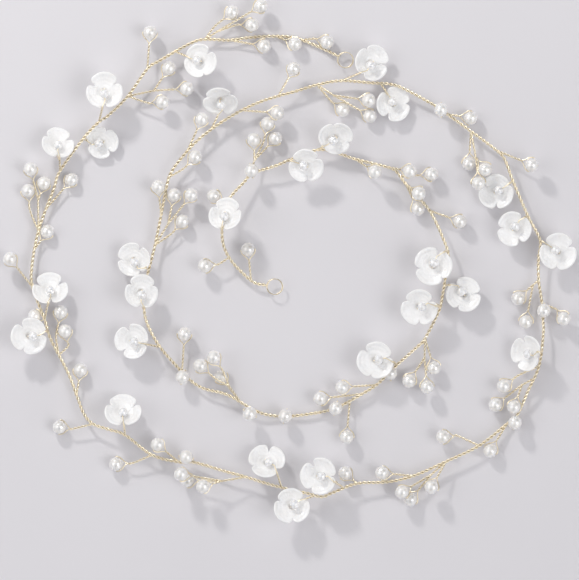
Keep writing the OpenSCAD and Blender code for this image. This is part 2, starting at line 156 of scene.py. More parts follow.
ROUTE = [
    RoutePoint(*p)
    for p in (
        (336, 55, 20), (326, 50, 14), (310, 43, 10), (294, 37.5, 8), (276, 36, 8), (253, 37, 12),
        (229, 40, 25), (205, 39.3, 30), (190, 43.5, 38), (160.7, 60, 50), (147.3, 69, 50),
        (127.6, 96.3, 42), (108, 115.7, 45), (98.9, 122, 54), (84, 137.7, 50), (60, 170.8, 28),
        (53.6, 188.7, 25), (38.3, 230.8, 22), (31.9, 266, 26), (32.5, 287, 30), (44.6, 319.5, 36),
        (50.4, 338.7, 34), (67.6, 372, 28), (76.5, 395, 26), (84, 414, 33), (93, 424, 40),
        (108.4, 429.3, 48), (125, 435, 50), (152, 455, 42), (178.6, 462, 25), (194, 462.4, 25),
        (226, 471.6, 42), (246, 477, 42), (270, 484.5, 45), (292, 490, 48), (308, 493.5, 50),
        (321.7, 496.8, 50), (333, 492.6, 48), (357, 483.6, 42), (387, 482, 32), (413, 476, 32),
        (446, 461.6, 36), (479, 445.7, 34), (507, 424, 18), (517, 415.5, 14), (528.5, 390, 35),
        (539, 366, 45), (543.3, 335, 38), (543, 318, 20), (542.2, 304, 18), (538.7, 280, 35),
        (538.5, 258, 42), (540, 240, 45), (528, 216, 42), (513, 181, 36), (505, 160, 38),
        (496.8, 150.5, 40), (471, 131.3, 38), (447, 114, 34), (438, 107.3, 34), (403, 88.2, 48),
        (387.6, 83.8, 38), (371, 82.8, 30), (341.4, 80.7, 35), (317, 84.8, 35), (296.5, 91, 38),
        (258.6, 102.4, 42), (226, 119.3, 40), (198, 140, 45), (179, 161, 40), (170.5, 173.5, 38),
        (166.5, 187, 36), (155, 245, 36), (145.5, 283, 48), (144, 305.5, 50), (147, 323, 50),
        (160, 347, 46), (182, 372, 15), (191, 381, 18), (204, 388.7, 30), (227.7, 395, 38),
        (252, 409, 34), (266, 414.5, 22), (285, 416.5, 12), (310, 414, 16), (336, 408, 12),
        (362, 394, 28), (376.4, 385, 20), (388, 374, 5), (397, 365, 15), (417, 347, 42),
        (425, 338.4, 48), (438, 313, 56), (441.5, 301, 56), (446.5, 270, 56), (448.3, 256, 55),
        (445.4, 244, 52), (429.5, 210.6, 47), (405.4, 183.5, 40), (397, 172, 38), (387, 167, 38),
        (355, 159, 39), (336, 152.7, 36), (317.5, 149.8, 42), (290.8, 159.5, 58), (275, 166, 54),
        (260, 170.5, 46), (251, 172.5, 44), (245, 181, 48), (227, 203, 68), (222, 234, 66),
        (229, 257.5, 45), (251, 280.5, 28), (264, 285, 26),
    )
]
ROUTE_SPLIT = 65

FORKS = table(
    Fork,
    (
        (217, 31.5, 34, 205, 39), (153.7, 90.6, 35, 127.6, 97), (38, 200, 30, 38, 231),
        (222, 481, 60, 246, 477), (431, 475, 30, 446, 462), (522, 385, 28, 534, 378),
        (533, 285, 24, 539, 281), (476, 158, 40, 471, 132), (334, 95.5, 36, 317, 85),
    ),
    (
        (168, 224, 40, 155, 245), (229, 386, 64, 239, 400), (424.5, 358, 34, 425, 339),
        (254.5, 160, 40, 252, 172),
    ),
)

PEARLS = table(
    PearlTwig,
    (
        (327, 42, 5, 314, 38.5, 300, 40), (295, 44, 11, 286, 39, 277, 36.5),
        (264, 46, 9, 248, 42, 230, 40), (252, 25, 25, 236, 25, 217, 31.5),
        (261, 6, 35, 233, 22, 217, 31.5), (232, 12, 20, 214, 27, 206, 38),
        (150, 32.5, 25, 148.5, 50, 147.3, 69), (169, 68, 15, 164, 77, 153.7, 90.6),
        (187, 88.6, 15, 175, 88, 153.7, 90.6), (162.6, 102, 35, 148, 103, 128, 98),
        (71.4, 179.7, 0, 63, 190, 50, 201), (44, 183, 15, 41, 192, 38, 200),
        (30.6, 169, 25, 35, 185, 38, 200), (28, 190.6, 5, 30, 211, 37, 231),
        (47, 231.4, 0, 43, 240, 34, 256), (10, 259, 39, 19, 270, 31, 285),
        (60.6, 312, 20, 56, 337, 62, 362), (65, 331, 23, 68, 346, 63, 361),
        (34.4, 316, 0, 40, 320, 45.5, 321), (80.4, 370, 4, 79.7, 381, 77, 397),
        (59.3, 427, 6, 72, 429, 92, 423), (116, 464, 4, 133, 463, 152, 456),
        (157.5, 444.6, 30, 166, 453, 177, 460), (186.3, 455),
        (181, 474, 79, 202, 476, 222, 481), (187.6, 480.5, 14, 205, 482, 222, 481),
        (203, 486.3, 68, 212, 485, 222, 481), (345, 473, 15, 352, 477, 356, 483),
        (382, 473, 17, 396, 476, 411, 476.5), (402, 492, 38, 417, 484, 431, 475),
        (410.5, 499.6, 0, 419, 488, 431, 475), (431.4, 487, 43, 436.5, 478, 443.5, 465),
        (442.8, 436.8, 15, 458, 436, 478, 445), (490.4, 450.8, 6, 497, 441, 508, 425),
        (515, 422.5), (514, 407, 26, 519, 397, 522, 385),
        (495.5, 405, 6, 510, 395, 522, 385), (503.7, 386, 20, 519, 375, 536, 371),
        (526, 322, 5, 530, 305, 533, 285), (518.3, 298.4, 0, 525, 290, 533, 285),
        (543.7, 310.5), (564, 318.7, 25, 556, 309, 542, 299),
        (478.4, 183.3, 44, 478, 171, 476, 158), (485.3, 169.3, 38, 480, 164, 476, 158),
        (469, 163.6, 3, 468.5, 150, 468, 130.5), (531.7, 165, 45, 515, 157, 499, 151.5),
        (470.7, 118, 9, 461, 117, 448, 113), (441, 109.8), (370, 116, 6, 353, 106, 334, 95.5),
        (368.7, 100.3, 30, 352, 98.5, 334, 95.5), (342.8, 110, 3, 331, 101, 317, 85.5),
    ),
    (
        (293.7, 68.8, 53, 287, 80, 279, 96), (277.5, 113, 38, 260, 111, 242, 110),
        (201.7, 119.3, 25, 197, 132, 189, 149), (195.3, 157, 25, 183, 169, 169, 176),
        (158.2, 186.8, 35, 160.5, 197, 162, 210), (174, 195, 15, 171, 210, 168, 224),
        (191.3, 195, 35, 181, 206, 168, 224), (182.4, 221.2, 10, 171, 234, 156, 244),
        (184.5, 334, 15, 182.5, 352, 181, 370), (182.5, 377),
        (200.3, 365.6, 40, 216, 379, 229, 386), (213.7, 357.2, 50, 223, 371, 229, 386),
        (220.7, 376.8, 5, 227, 383, 239, 400), (248.8, 415.4), (285.2, 416), (335.7, 408.4),
        (320.3, 398.6, 20, 337, 397, 357, 397), (342, 387.3, 30, 360, 385, 377, 384),
        (346.7, 437.2, 15, 347, 422, 350, 402), (390.5, 373.3),
        (409.2, 381, 15, 416, 370, 424.5, 358), (427, 387, 31, 427, 373, 424.5, 358),
        (434, 368, 12, 430, 356, 425.5, 339), (460, 221.4, 14, 446, 215, 430.5, 210),
        (418, 208.7, 5, 413, 198, 405, 184), (418.7, 193.5, 60, 412, 186, 405, 184),
        (431.4, 174.4, 16, 417, 175.5, 399, 176), (409.8, 171.2, 48, 400, 169, 388, 167),
        (375, 172, 67, 367, 168, 358, 161), (253.7, 139.5, 25, 253.3, 149, 254.5, 160),
        (267.7, 123.5, 15, 263, 143, 254.5, 160), (275.4, 138.3, 0, 267, 149, 254.5, 160),
        (251.6, 170.7), (213.7, 196, 40, 219, 204, 226, 208),
        (204.6, 266, 25, 219, 264, 233, 263), (248, 249.3, 15, 248, 264, 249, 280),
    ),
)

FLOWERS = table(
    FlowerRow,
    (
        (201, 61, 62, 105, 15, 180, 92, 176, 51), (104.6, 91, 85, 93, 5, 90, 100, 99, 122),
        (102, 142, 10, 130, 8, 270, 88, 80, 143), (57.4, 144, 40, 85, 25, 60, 90, 60, 171),
        (50, 290, 28, 95, 28, 90, 98, 43, 315), (29, 336, 61, 65, 8, 0, 100, 49, 333),
        (123, 412, 54, 90, 30, 90, 100, 125, 435), (266.6, 462.4, 37, 140, 28, 90, 100, 281, 487),
        (291.3, 506.6, 62, 95, 10, 60, 98, 314, 495),
        (319.3, 475.8, 81, 58, 12, 180, 101, 342, 489),
        (527.6, 353, 51, 45, 36, 180, 97, 541, 358), (557.7, 252, 47, 85, 5, 0, 102, 540, 240),
        (514.3, 229, 39, 115, 10, 180, 95, 529, 218),
        (496.4, 191.8, 18, 90, 8, 200, 96, 514, 184),
        (393, 104, 16, 62, 12, 0, 95, 380, 83.5), (371, 62.7, 45, 52, 20, 0, 98, 342, 81),
    ),
    (
        (220.4, 99.5, 60, 100, 42, 265, 96, 216, 126),
        (134, 259.5, 30, 120, 12, 180, 92, 148, 272),
        (141, 291.5, 65, 85, 12, 0, 93, 144, 306), (132.7, 341, 42, 48, 15, 180, 96, 159, 346),
        (375, 360.3, 56, 73, 5, 0, 101, 396, 366), (419, 307.3, 74, 90, 10, 270, 100, 440, 308),
        (463.8, 295, 35, 65, 12, 90, 97, 445, 279),
        (432.7, 266.4, 75, 128, 5, 90, 104, 447, 250),
        (335.7, 136.8, 57, 38, 24, 270, 94, 320, 149), (306, 165, 74, 95, 20, 270, 96, 289, 160),
        (226.3, 215, 100, 80, 24, 135, 93, 222, 234),
    ),
)


# Sizes and places


@dataclass(frozen=True)
class Sizes:
    """Sizes of the vine in millimetres. Those that the part's source has too are named as there, and
    only the holes of the beads are smaller here."""

    laid_w: float = 207.0
    lift: float = 10.0
    stem_d: float = 0.9
    twig_d: float = 0.6
    strand_d: float = 0.3
    wire_gap: float = 0.12
    pearl_d: float = 5.0
    pearl_hole: float = 0.5
    heart_d: float = 3.2
    heart_hole: float = 0.5
    heart_pull: float = 1.2
    flower_d: float = 13.5
    petal_wall: float = 0.6
    flower_hole: float = 1.2
    dish_r: float = 8.5
    dish_off: float = 1.4
    eye_d: float = 5.0
    eye_wire: float = 0.6
    eye_neck: float = 0.8
    plan_across: float = 574.0
    plan_middle: tuple[float, float] = (290.1, 261.0)
    flower_rest: float = 1.4
    petal_pitch: float = 120.0
    neck_share: float = 1.36
    route_steps: int = 2
    stem_steps: int = 12
    sway: float = 16.0
    sway_rates: tuple[float, float] = (1.7, 2.9)

    @property
    def square(self) -> float:
        """Width of one plan square in millimetres."""
        return self.laid_w / self.plan_across

    @property
    def dish_h(self) -> float:
        """Height of a dish's centre over the heart."""
        return math.sqrt(self.dish_r**2 - self.dish_off**2)

    @property
    def heart_h(self) -> float:
        """Height of a heart's pearl over the heart."""
        return self.heart_d / 2 + 2 * self.wire_gap

    @property
    def neck_r(self) -> float:
        """Distance of a twig's end from the centre of its pearl."""
        return self.neck_share * self.loop_r(self.pearl_d)

    def loop_r(self, bead_d: float) -> float:
        """Tightest radius of a loop of strand round a bead of the given diameter."""
        return bead_d / 2 + self.wire_gap + self.strand_d / 2


def unit(v: Array) -> Array:
    """The vector at length one."""
    return v / np.linalg.norm(v)


def across(v: Array) -> Array:
    """A level unit vector at right angles to a unit vector."""
    other = np.array((0.0, 0.0, 1.0)) if abs(v[2]) < 0.9 else np.array((1.0, 0.0, 0.0))
    return unit(np.cross(v, other))


def circle(angles: Array, first: Array, second: Array) -> Array:
    """Directions at angles from a first unit vector towards a second one."""
    return np.cos(angles)[:, None] * first + np.sin(angles)[:, None] * second


def smooth_curve(points: Array, steps: int) -> Array:
    """A smooth curve through points.

    Args:
        points: the points that it passes.
        steps: pieces between two of them.

    Returns:
        The curve's points, first and last included.
    """
    ends = np.vstack([points[:1], points, points[-1:]])
    before, here, there, after = ends[:-3], ends[1:-2], ends[2:-1], ends[3:]
    parts = [
        here
        + (there - before) * t / 2
        + (2 * before - 5 * here + 4 * there - after) * t * t / 2
        + (3 * here - before - 3 * there + after) * t**3 / 2
        for t in np.arange(steps) / steps
    ]
    return np.vstack([np.stack(parts, axis=1).reshape(-1, 3), points[-1:]])


def run_along(path: Array) -> Array:
    """Length of a path up to each of its points."""
    return np.concatenate([[0.0], np.cumsum(np.linalg.norm(np.diff(path, axis=0), axis=1))])


def even_steps(path: Array, step: float) -> Array:
    """A path in even steps.

    Args:
        path: the path.
        step: about how long each step is.

    Returns:
        The path's points, first and last included.
    """
    run = run_along(path)
    at = np.linspace(0.0, run[-1], max(2, int(round(run[-1] / step)) + 1))
    return np.stack([np.interp(at, run, path[:, k]) for k in range(3)], axis=1)


class PearlPlace(NamedTuple):
    """Where a pearl is: its centre, its twig's root, the point that the twig passes, and the
    directions from the centre to the twig's end and along the hole."""

    centre: Array
    root: Array
    via: Array | None
    down: Array
    side: Array


class Places:
    """Where everything on the vine is, in millimetres in the part's own frame."""

    def __init__(self, sizes: Sizes) -> None:
        """Works out the stem's line.

        Args:
            sizes: the vine's sizes.
        """
        self.sizes = sizes
        points = np.array([self.lifted(*p, sizes.stem_d / 2) for p in ROUTE])
        coarse = smooth_curve(points, sizes.route_steps)
        split = ROUTE_SPLIT * sizes.route_steps
        self.stem = smooth_curve(points, sizes.stem_steps)
        self.stem_split = ROUTE_SPLIT * sizes.stem_steps
        ahead = coarse[split] + sizes.stem_d * unit(coarse[split] - coarse[split - 1])
        stems = {
            Turn.OUTER: coarse[: split + 1],
            Turn.INNER: np.vstack([coarse[split], ahead, coarse[split + 1 :]]),
        }
        self.anchors = {
            turn: np.vstack([stem, [self.fork_tip(f) for f in FORKS[turn]]])
            for turn, stem in stems.items()
        }

    def plan(self, x: float, y: float) -> Array:
        """A plan point in millimetres."""
        middle = self.sizes.plan_middle
        return self.sizes.square * np.array([x - middle[0], middle[1] - y])

    def lifted(self, x: float, y: float, rise: float, rest: float) -> Array:
        """A plan point, at the height of a rise over a resting height."""
        return np.array([*self.plan(x, y), rest + self.sizes.lift * rise / 100])

    def fork_tip(self, fork: Fork) -> Array:
        """The point at which a fork's twigs part."""
        return self.lifted(fork.x, fork.y, fork.rise, self.sizes.stem_d / 2)

    def nearest(self, turn: Turn, x: float, y: float) -> Array:
        """The anchor of a turn that is nearest to a plan point."""
        anchors = self.anchors[turn]
        return anchors[int(np.argmin(np.linalg.norm(anchors[:, :2] - self.plan(x, y), axis=1)))]

    def pearl(self, turn: Turn, row: PearlTwig) -> PearlPlace:
        """A pearl's place. One on the stem stands over it, as near to its plan point as its strands
        allow. Hand twisting has turned each hole a little about its twig.

        Args:
            turn: the pearl's turn.
            row: the pearl.

        Returns:
            The place.
        """
        sizes = self.sizes
        via = None
        if row.on_stem:
            root = self.nearest(turn, row.x, row.y)
            off = self.plan(row.x, row.y) - root[:2]
            aside = min(float(np.linalg.norm(off)), sizes.neck_r / 2)
            level = root[:2] + aside * unit(off)
            centre = np.array([*level, root[2] + math.sqrt(sizes.neck_r**2 - aside**2)])
        else:
            root = self.nearest(turn, row.root_x, row.root_y)
            centre = self.lifted(row.x, row.y, row.rise, sizes.pearl_d / 2)
            passed = np.array([*self.plan(row.via_x, row.via_y), (centre[2] + root[2]) / 2])
            off = np.linalg.norm(np.cross(passed - centre, unit(root - centre)))
            if off > sizes.twig_d and np.linalg.norm(passed - centre) > sizes.neck_r + sizes.twig_d:
                via = passed
        down = unit((root if via is None else via) - centre)
        level = across(down)
        by_x, by_y = sizes.sway_rates
        sway = math.radians(sizes.sway) * math.sin(by_x * row.x + by_y * row.y)
        side = math.cos(sway) * level + math.sin(sway) * np.cross(down, level)
        return PearlPlace(centre, root, via, down, side)

    def flower_heart(self, row: FlowerRow) -> Array:
        """The middle of a flower."""
        return self.lifted(row.x, row.y, row.rise, self.sizes.flower_rest)

    def flower_turn(self, row: FlowerRow, points: Array) -> Array:
        """Points of a flower that lies level, turned by its lean.

        Args:
            row: the flower.
            points: the points, from its heart.

        Returns:
            The turned points.
        """
        face, lean = math.radians(row.face), math.radians(row.lean)
        x, y, z = np.moveaxis(np.asarray(points, float), -1, 0)
        ax = math.cos(face) * x + math.sin(face) * y
        ay = math.cos(face) * y - math.sin(face) * x
        bx = math.cos(lean) * ax + math.sin(lean) * z
        bz = math.cos(lean) * z - math.sin(lean) * ax
        cx = math.cos(face) * bx - math.sin(face) * ay
        return np.stack([cx, math.sin(face) * bx + math.cos(face) * ay, bz], axis=-1)

    def flower_notch(self, row: FlowerRow) -> float:
        """Plan angle of the notch between petals that is nearest to a flower's twig.

        Args:
            row: the flower.

        Returns:
            The angle in degrees.
        """
        pitch = self.sizes.petal_pitch
        away = self.plan(row.root_x, row.root_y) - self.plan(row.x, row.y)
        first = row.spin + pitch / 2
        turns = (math.degrees(math.atan2(away[1], away[0])) - first) / pitch
        return first + pitch * math.floor(turns + 0.5)

    def flower_point(self, row: FlowerRow, along: float, up: float, aside: float = 0.0) -> Array:
        """A point of a flower.

        Args:
            row: the flower.
            along: distance from the heart towards the twig's notch.
            up: height over the heart.
            aside: distance to the side of the line to the notch.

        Returns:
            The point in the part's frame.
        """
        a = math.radians(self.flower_notch(row))
        x = along * math.cos(a) - aside * math.sin(a)
        y = along * math.sin(a) + aside * math.cos(a)
        return self.flower_heart(row) + self.flower_turn(row, np.array([x, y, up]))

    def heart_centre(self, row: FlowerRow) -> Array:
        """The centre of a heart's pearl."""
        return self.flower_point(row, self.sizes.heart_pull, self.sizes.heart_h)

    def shift(self) -> Array:
        """What lies between the part's own frame and the row frame, read off the pearls.

        Returns:
            What has to be added to a place in metres.
        """
        centres = np.array([self.pearl(Turn.OUTER, p).centre for p in PEARLS[Turn.OUTER]]) * MM
        low, high = (np.array(c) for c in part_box("pearls_outer"))
        return (low + high) / 2 - (centres.min(0) + centres.max(0)) / 2


# Mesh making


def placed(name: str, data: bpy.types.ID) -> Object:
    """An object of the scene, at the origin.

    Args:
        name: its name.
        data: its mesh, light or camera.

    Returns:
        The new object.
    """
    thing = bpy.data.objects.new(name, data)
    bpy.context.scene.collection.objects.link(thing)
    return thing


class Shape:
    """Gathers grids of faces and makes one mesh object of them."""

    def __init__(self, shift: Array) -> None:
        """Starts empty.

        Args:
            shift: what is added to every point once it is in metres.
        """
        self.shift = shift
        self.points: list[Array] = []
        self.marks: list[Array] = []
        self.quads: list[Array] = []
        self.caps: list[Array] = []
        self.count = 0

    def add_points(self, points: Array, marks: Array | None = None) -> Array:
        """Takes points in.

        Args:
            points: places in millimetres.
            marks: three numbers for each point that its material reads, or None.

        Returns:
            The points' indices, in a grid like that of the points.
        """
        flat = np.asarray(points, float).reshape(-1, 3)
        self.points.append(flat)
        self.marks.append(np.zeros_like(flat) if marks is None else marks.reshape(-1, 3))
        first = self.count
        self.count += len(flat)
        return first + np.arange(len(flat)).reshape(points.shape[:-1])

    def add_quads(self, index: Array, wrap_rows: bool = False, wrap_cols: bool = False) -> None:
        """Takes in the faces between the points of a grid.

        Args:
            index: the points' indices, rows by columns, with columns turning left about the rows.
            wrap_rows: whether the last row meets the first.
            wrap_cols: whether the last column meets the first.
        """
        if wrap_rows:
            index = np.vstack([index, index[:1]])
        if wrap_cols:
            index = np.hstack([index, index[:, :1]])
        a, b, c, d = index[:-1, :-1], index[:-1, 1:], index[1:, 1:], index[1:, :-1]
        self.quads.append(np.stack([a, b, c, d], axis=-1).reshape(-1, 4))

    def add_tube(
        self,
        line: Array,
        radius: float | Array,
        sides: int,
        inward: Array | None = None,
        closed: bool = False,
    ) -> None:
        """Takes in a round tube. Its marks are how deep each point lies in a groove between strands,
        which the gold finish turns into painted shade.

        Args:
            line: the points of its middle.
            radius: its radius, or the radius at each point.
            sides: its sides.
            inward: for the first points the direction to the strand beside it, or None.
            closed: whether its end runs into its start.
        """
        _, side, up = carried_frames(line, closed)
        turn = np.arange(sides) * 2 * math.pi / sides
        ring = side[:, None] * np.cos(turn)[None, :, None] + up[:, None] * np.sin(turn)[None, :, None]
        thick = np.broadcast_to(radius, len(line))
        # How far each point faces into the strand beside it. The gold finish paints shade there.
        groove_shade = np.zeros(ring.shape)
        if inward is not None:
            deep = (ring[: len(inward)] * inward[:, None]).sum(-1)
            groove_shade[: len(inward)] = np.clip(deep, 0, 1)[..., None]
        index = self.add_points(line[:, None] + thick[:, None, None] * ring, groove_shade)
        self.add_quads(index, wrap_rows=closed, wrap_cols=True)
        if not closed:
            self.caps += [index[0, ::-1], index[-1]]

    def make(self, name: str, mark: str = WIRE_MARK) -> Object:
        """Makes the object, with its place in its mesh.

        Args:
            name: the piece's name.
            mark: name of the attribute that holds the marks.

        Returns:
            The new object.
        """
        quads = np.vstack(self.quads)
        sizes = np.array([4] * len(quads) + [len(c) for c in self.caps])
        corners = np.concatenate([quads.ravel(), *self.caps]).astype(np.int32)
        mesh = bpy.data.meshes.new(name)
        mesh.vertices.add(self.count)
        places = np.vstack(self.points) * MM + self.shift
        mesh.vertices.foreach_set("co", places.astype(np.float32).ravel())
        mesh.loops.add(len(corners))
        mesh.loops.foreach_set("vertex_index", corners)
        mesh.polygons.add(len(sizes))
        starts = np.concatenate([[0], np.cumsum(sizes)[:-1]]).astype(np.int32)
        mesh.polygons.foreach_set("loop_start", starts)
        mesh.polygons.foreach_set("use_smooth", np.ones(len(sizes), bool))
        mesh.update(calc_edges=True)
        if mesh.validate():
            log.warning("%s had faces that don't hold together", name)
        marks = mesh.attributes.new(mark, "FLOAT_VECTOR", "POINT")
        marks.data.foreach_set("vector", np.vstack(self.marks).astype(np.float32).ravel())
        return placed(name, mesh)


def carried_frames(line: Array, closed: bool = False) -> tuple[Array, Array, Array]:
    """Directions along a line, each turned as little as possible from the one before.

    Args:
        line: the line's points.
        closed: whether its end runs into its start.

    Returns:
        For each point the direction along the line, one to the side, and the third.
    """
    if closed:
        steps = np.roll(line, -1, axis=0) - np.roll(line, 1, axis=0)
    else:
        steps = np.gradient(line, axis=0)
    along = steps / np.linalg.norm(steps, axis=1)[:, None]
    side = np.empty_like(along)
    last = across(along[0])
    for i, way in enumerate(along):
        last = unit(last - way * float(np.dot(last, way)))
        side[i] = last
    return along, side, np.cross(along, side)


def twisted(
    path: Array, strands: int, reach: float, lay: float, phase: float = 0.0
) -> list[tuple[Array, Array]]:
    """Lines of strands twisted about a path.

    Args:
        path: the path, in even steps.
        strands: how many strands.
        reach: distance of each strand's middle from the path.
        lay: length of one full turn.
        phase: angle of the first strand at the path's end.

    Returns:
        For each strand its line, and at each point the direction to the path.
    """
    _, side, up = carried_frames(path)
    run = run_along(path)
    angle = phase + 2 * math.pi * (run - run[-1]) / lay
    outs = [circle(angle + 2 * math.pi * k / strands, side, up) for k in range(strands)]
    return [(path + reach * out, -out) for out in outs]


# Shader groups


class Nodes:
    """A node tree under construction, with short ways to add and fill its nodes."""

    def __init__(self, tree: NodeTree) -> None:
        """Starts on a tree.

        Args:
            tree: the tree that the nodes go into.
        """
        self.tree = tree

    def fill(self, node: Node, inputs: Inputs) -> Node:
        """Fills a node's inputs.

        Args:
            node: the node.
            inputs: what goes into its inputs, by name or number. A socket is linked, and anything
                else is set as a plain value.

        Returns:
            The node.
        """
        for name, value in inputs.items():
            if isinstance(value, Socket):
                self.tree.links.new(value, node.inputs[name])
            else:
                node.inputs[name].default_value = value
        return node

    def add(self, kind: str, inputs: Inputs | None = None, **settings: object) -> Node:
        """A new node.

        Args:
            kind: the node's type.
            inputs: what goes into its inputs.
            **settings: properties set on it first.

        Returns:
            The node.
        """
        node = self.tree.nodes.new(kind)
        for name, value in settings.items():
            setattr(node, name, value)
        return self.fill(node, inputs or {})


def new_group(name: str, inputs: dict[str, object], outputs: dict[str, str]) -> Nodes:
    """A shader node group with named sockets.

    Args:
        name: its name.
        inputs: the first value of each input. None makes a vector, four numbers make a colour.
        outputs: the type of each output.

    Returns:
        The group's nodes.
    """
    nodes = Nodes(bpy.data.node_groups.new(name, "ShaderNodeTree"))
    new_socket = nodes.tree.interface.new_socket
    for label, value in inputs.items():
        kind = "Vector" if value is None else "Float" if isinstance(value, float) else "Color"
        socket = new_socket(name=label, in_out="INPUT", socket_type=f"NodeSocket{kind}")
        if value is not None:
            socket.default_value = value
    for label, kind in outputs.items():
        new_socket(name=label, in_out="OUTPUT", socket_type=f"NodeSocket{kind}")
    return nodes


def cloudy_tone() -> NodeTree:
    """A group that wanders softly between two colours.

    Returns:
        The group, with inputs Place, Scale, Light and Dark and output Color.
    """
    nodes = new_group(
        "CloudyTone",
        {"Place": None, "Scale": 100.0, "Light": (1.0, 1.0, 1.0, 1.0), "Dark": (0.5, 0.5, 0.5, 1.0)},
        {"Color": "Color"},
    )
    given = nodes.add("NodeGroupInput").outputs
    noise = nodes.add(
        "ShaderNodeTexNoise", {"Vector": given["Place"], "Scale": given["Scale"], "Detail": 3.0}
    )
    spread = nodes.add(
        "ShaderNodeMapRange", {"Value": noise.outputs["Fac"], "From Min": 0.32, "From Max": 0.68}
    )
    mixed = {"Factor": spread.outputs["Result"], "A": given["Dark"], "B": given["Light"]}
    mix = nodes.add("ShaderNodeMix", data_type="RGBA")
    nodes.add("NodeGroupOutput", {"Color": nodes.fill(mix, mixed).outputs["Result"]})
    return nodes.tree


def fine_grain() -> NodeTree:
    """A group for a fine uneven surface.

    Returns:
        The group, with inputs Place, Scale, Low and High, and outputs Height and Roughness.
    """
    nodes = new_group(
        "FineGrain",
        {"Place": None, "Scale": 800.0, "Low": 0.2, "High": 0.4},
        {"Height": "Float", "Roughness": "Float"},
    )
    given = nodes.add("NodeGroupInput").outputs
    noise = nodes.add(
        "ShaderNodeTexNoise",
        {"Vector": given["Place"], "Scale": given["Scale"], "Detail": 4.0, "Roughness": 0.6},
    )
    height = noise.outputs["Fac"]
    spread = nodes.add(
        "ShaderNodeMapRange", {"Value": height, "To Min": given["Low"], "To Max": given["High"]}
    )
    nodes.add("NodeGroupOutput", {"Height": height, "Roughness": spread.outputs["Result"]})
    return nodes.tree


@dataclass(frozen=True)
class Effects:
    """The shader groups that the finishes share."""

    tone: NodeTree
    grain: NodeTree


# Finishes


def rgba(colour: Colour) -> tuple[float, float, float, float]:
    """A colour with full cover."""
    return (*colour, 1.0)


@dataclass(frozen=True)
class Finish:
    """A surface whose colour wanders between two tones, with a grain in its gloss and relief. Its
    uniform values are set on the shader's own sockets."""

    name: str
    light: Colour
    dark: Colour
    tone_scale: float
    grain_scale: float
    rough_low: float
    rough_high: float
    depth: float
    uniform: ClassVar[Inputs] = {}

    def make(self, effects: Effects) -> Material:
        """The material.

        Args:
            effects: the shared shader groups.

        Returns:
            The new material.
        """
        material = bpy.data.materials.new(self.name)
        material.use_nodes = True
        look = Nodes(material.node_tree)
        place = look.add("ShaderNodeTexCoord").outputs["Object"]
        tones = {"Scale": self.tone_scale, "Light": rgba(self.light), "Dark": rgba(self.dark)}
        tone = look.add("ShaderNodeGroup", {"Place": place, **tones}, node_tree=effects.tone)
        grains = {"Scale": self.grain_scale, "Low": self.rough_low, "High": self.rough_high}
        grain = look.add("ShaderNodeGroup", {"Place": place, **grains}, node_tree=effects.grain)
        height = self.relief(look, grain.outputs["Height"])
        bump = look.add("ShaderNodeBump", {"Strength": 1.0, "Distance": self.depth, "Height": height})
        shader = look.fill(look.tree.nodes["Principled BSDF"], self.uniform)
        look.fill(shader, {"Base Color": self.shaded(look, tone.outputs["Color"])})
        look.fill(shader, {"Roughness": grain.outputs["Roughness"], "Normal": bump.outputs["Normal"]})
        return material

    def shaded(self, look: Nodes, colour: Socket) -> Socket:
        """The colour that reaches the shader, here as it is."""
        return colour

    def relief(self, look: Nodes, grain: Socket) -> Socket:
        """The height that the bump reads, here the grain alone."""
        return grain


@dataclass(frozen=True)
class GoldWire(Finish):
    """Pale gold-plated wire, softly bright, with painted shade making it darker in the grooves of the
    twist.
    """

    name: str = "gold_wire_bright"
    light: Colour = (1.0, 0.925, 0.73)
    dark: Colour = (0.97, 0.845, 0.62)
    tone_scale: float = 900.0
    grain_scale: float = 6000.0
    rough_low: float = 0.22
    rough_high: float = 0.38
    depth: float = 0.000012
    # Colour of the shade painted into the grooves of the twist.
    groove_shade: Colour = (0.24, 0.18, 0.12)
    groove_shade_from: float = 0.3
    groove_shade_full: float = 0.85
    uniform: ClassVar[Inputs] = {"Metallic": 1.0}

    def shaded(self, look: Nodes, colour: Socket) -> Socket:
        """The colour with painted shade in its grooves.

        Args:
            look: the material's nodes.
            colour: the wire's colour.

        Returns:
            The colour with the painted shade.
        """
        # Painted shade: the groove depth mark blends the colour towards the dark groove colour.
        marks = look.add("ShaderNodeAttribute", attribute_name=WIRE_MARK).outputs["Vector"]
        into = look.add("ShaderNodeSeparateXYZ", {"Vector": marks}).outputs["X"]
        deep = look.add("ShaderNodeMapRange", interpolation_type="SMOOTHSTEP")
        look.fill(deep, {"Value": into, "From Min": self.groove_shade_from, "From Max": self.groove_shade_full})
        mix = look.add("ShaderNodeMix", data_type="RGBA")
        look.fill(mix, {"Factor": deep.outputs["Result"], "A": colour, "B": rgba(self.groove_shade)})
        return mix.outputs["Result"]


@dataclass(frozen=True)
class PearlLustre(Finish):
    """Ivory pearl coating with a clear gloss over a soft glow."""

    name: str = "pearl_lustre"
    light: Colour = (0.87, 0.855, 0.825)
    dark: Colour = (0.81, 0.79, 0.76)
    tone_scale: float = 260.0
    grain_scale: float = 2600.0
    rough_low: float = 0.2
    rough_high: float = 0.3
    depth: float = 0.000008
    uniform: ClassVar[Inputs] = {
        "Coat Weight": 1.0,
        "Coat IOR": 3.0,
        "Coat Roughness": 0.06,
        "Specular IOR Level": 0.6,
        "Sheen Weight": 1.0,
        "Sheen Roughness": 0.35,
        "Subsurface Weight": 1.0,
        "Subsurface Radius": (1.0, 0.95, 0.88),
        "Subsurface Scale": 0.003,
    }


class GrowthLines(NamedTuple):
    """Faint lines in a petal: which way they follow each other, how close, how bent and how deep."""

    direction: str
    scale: float
    bend: float
    share: float


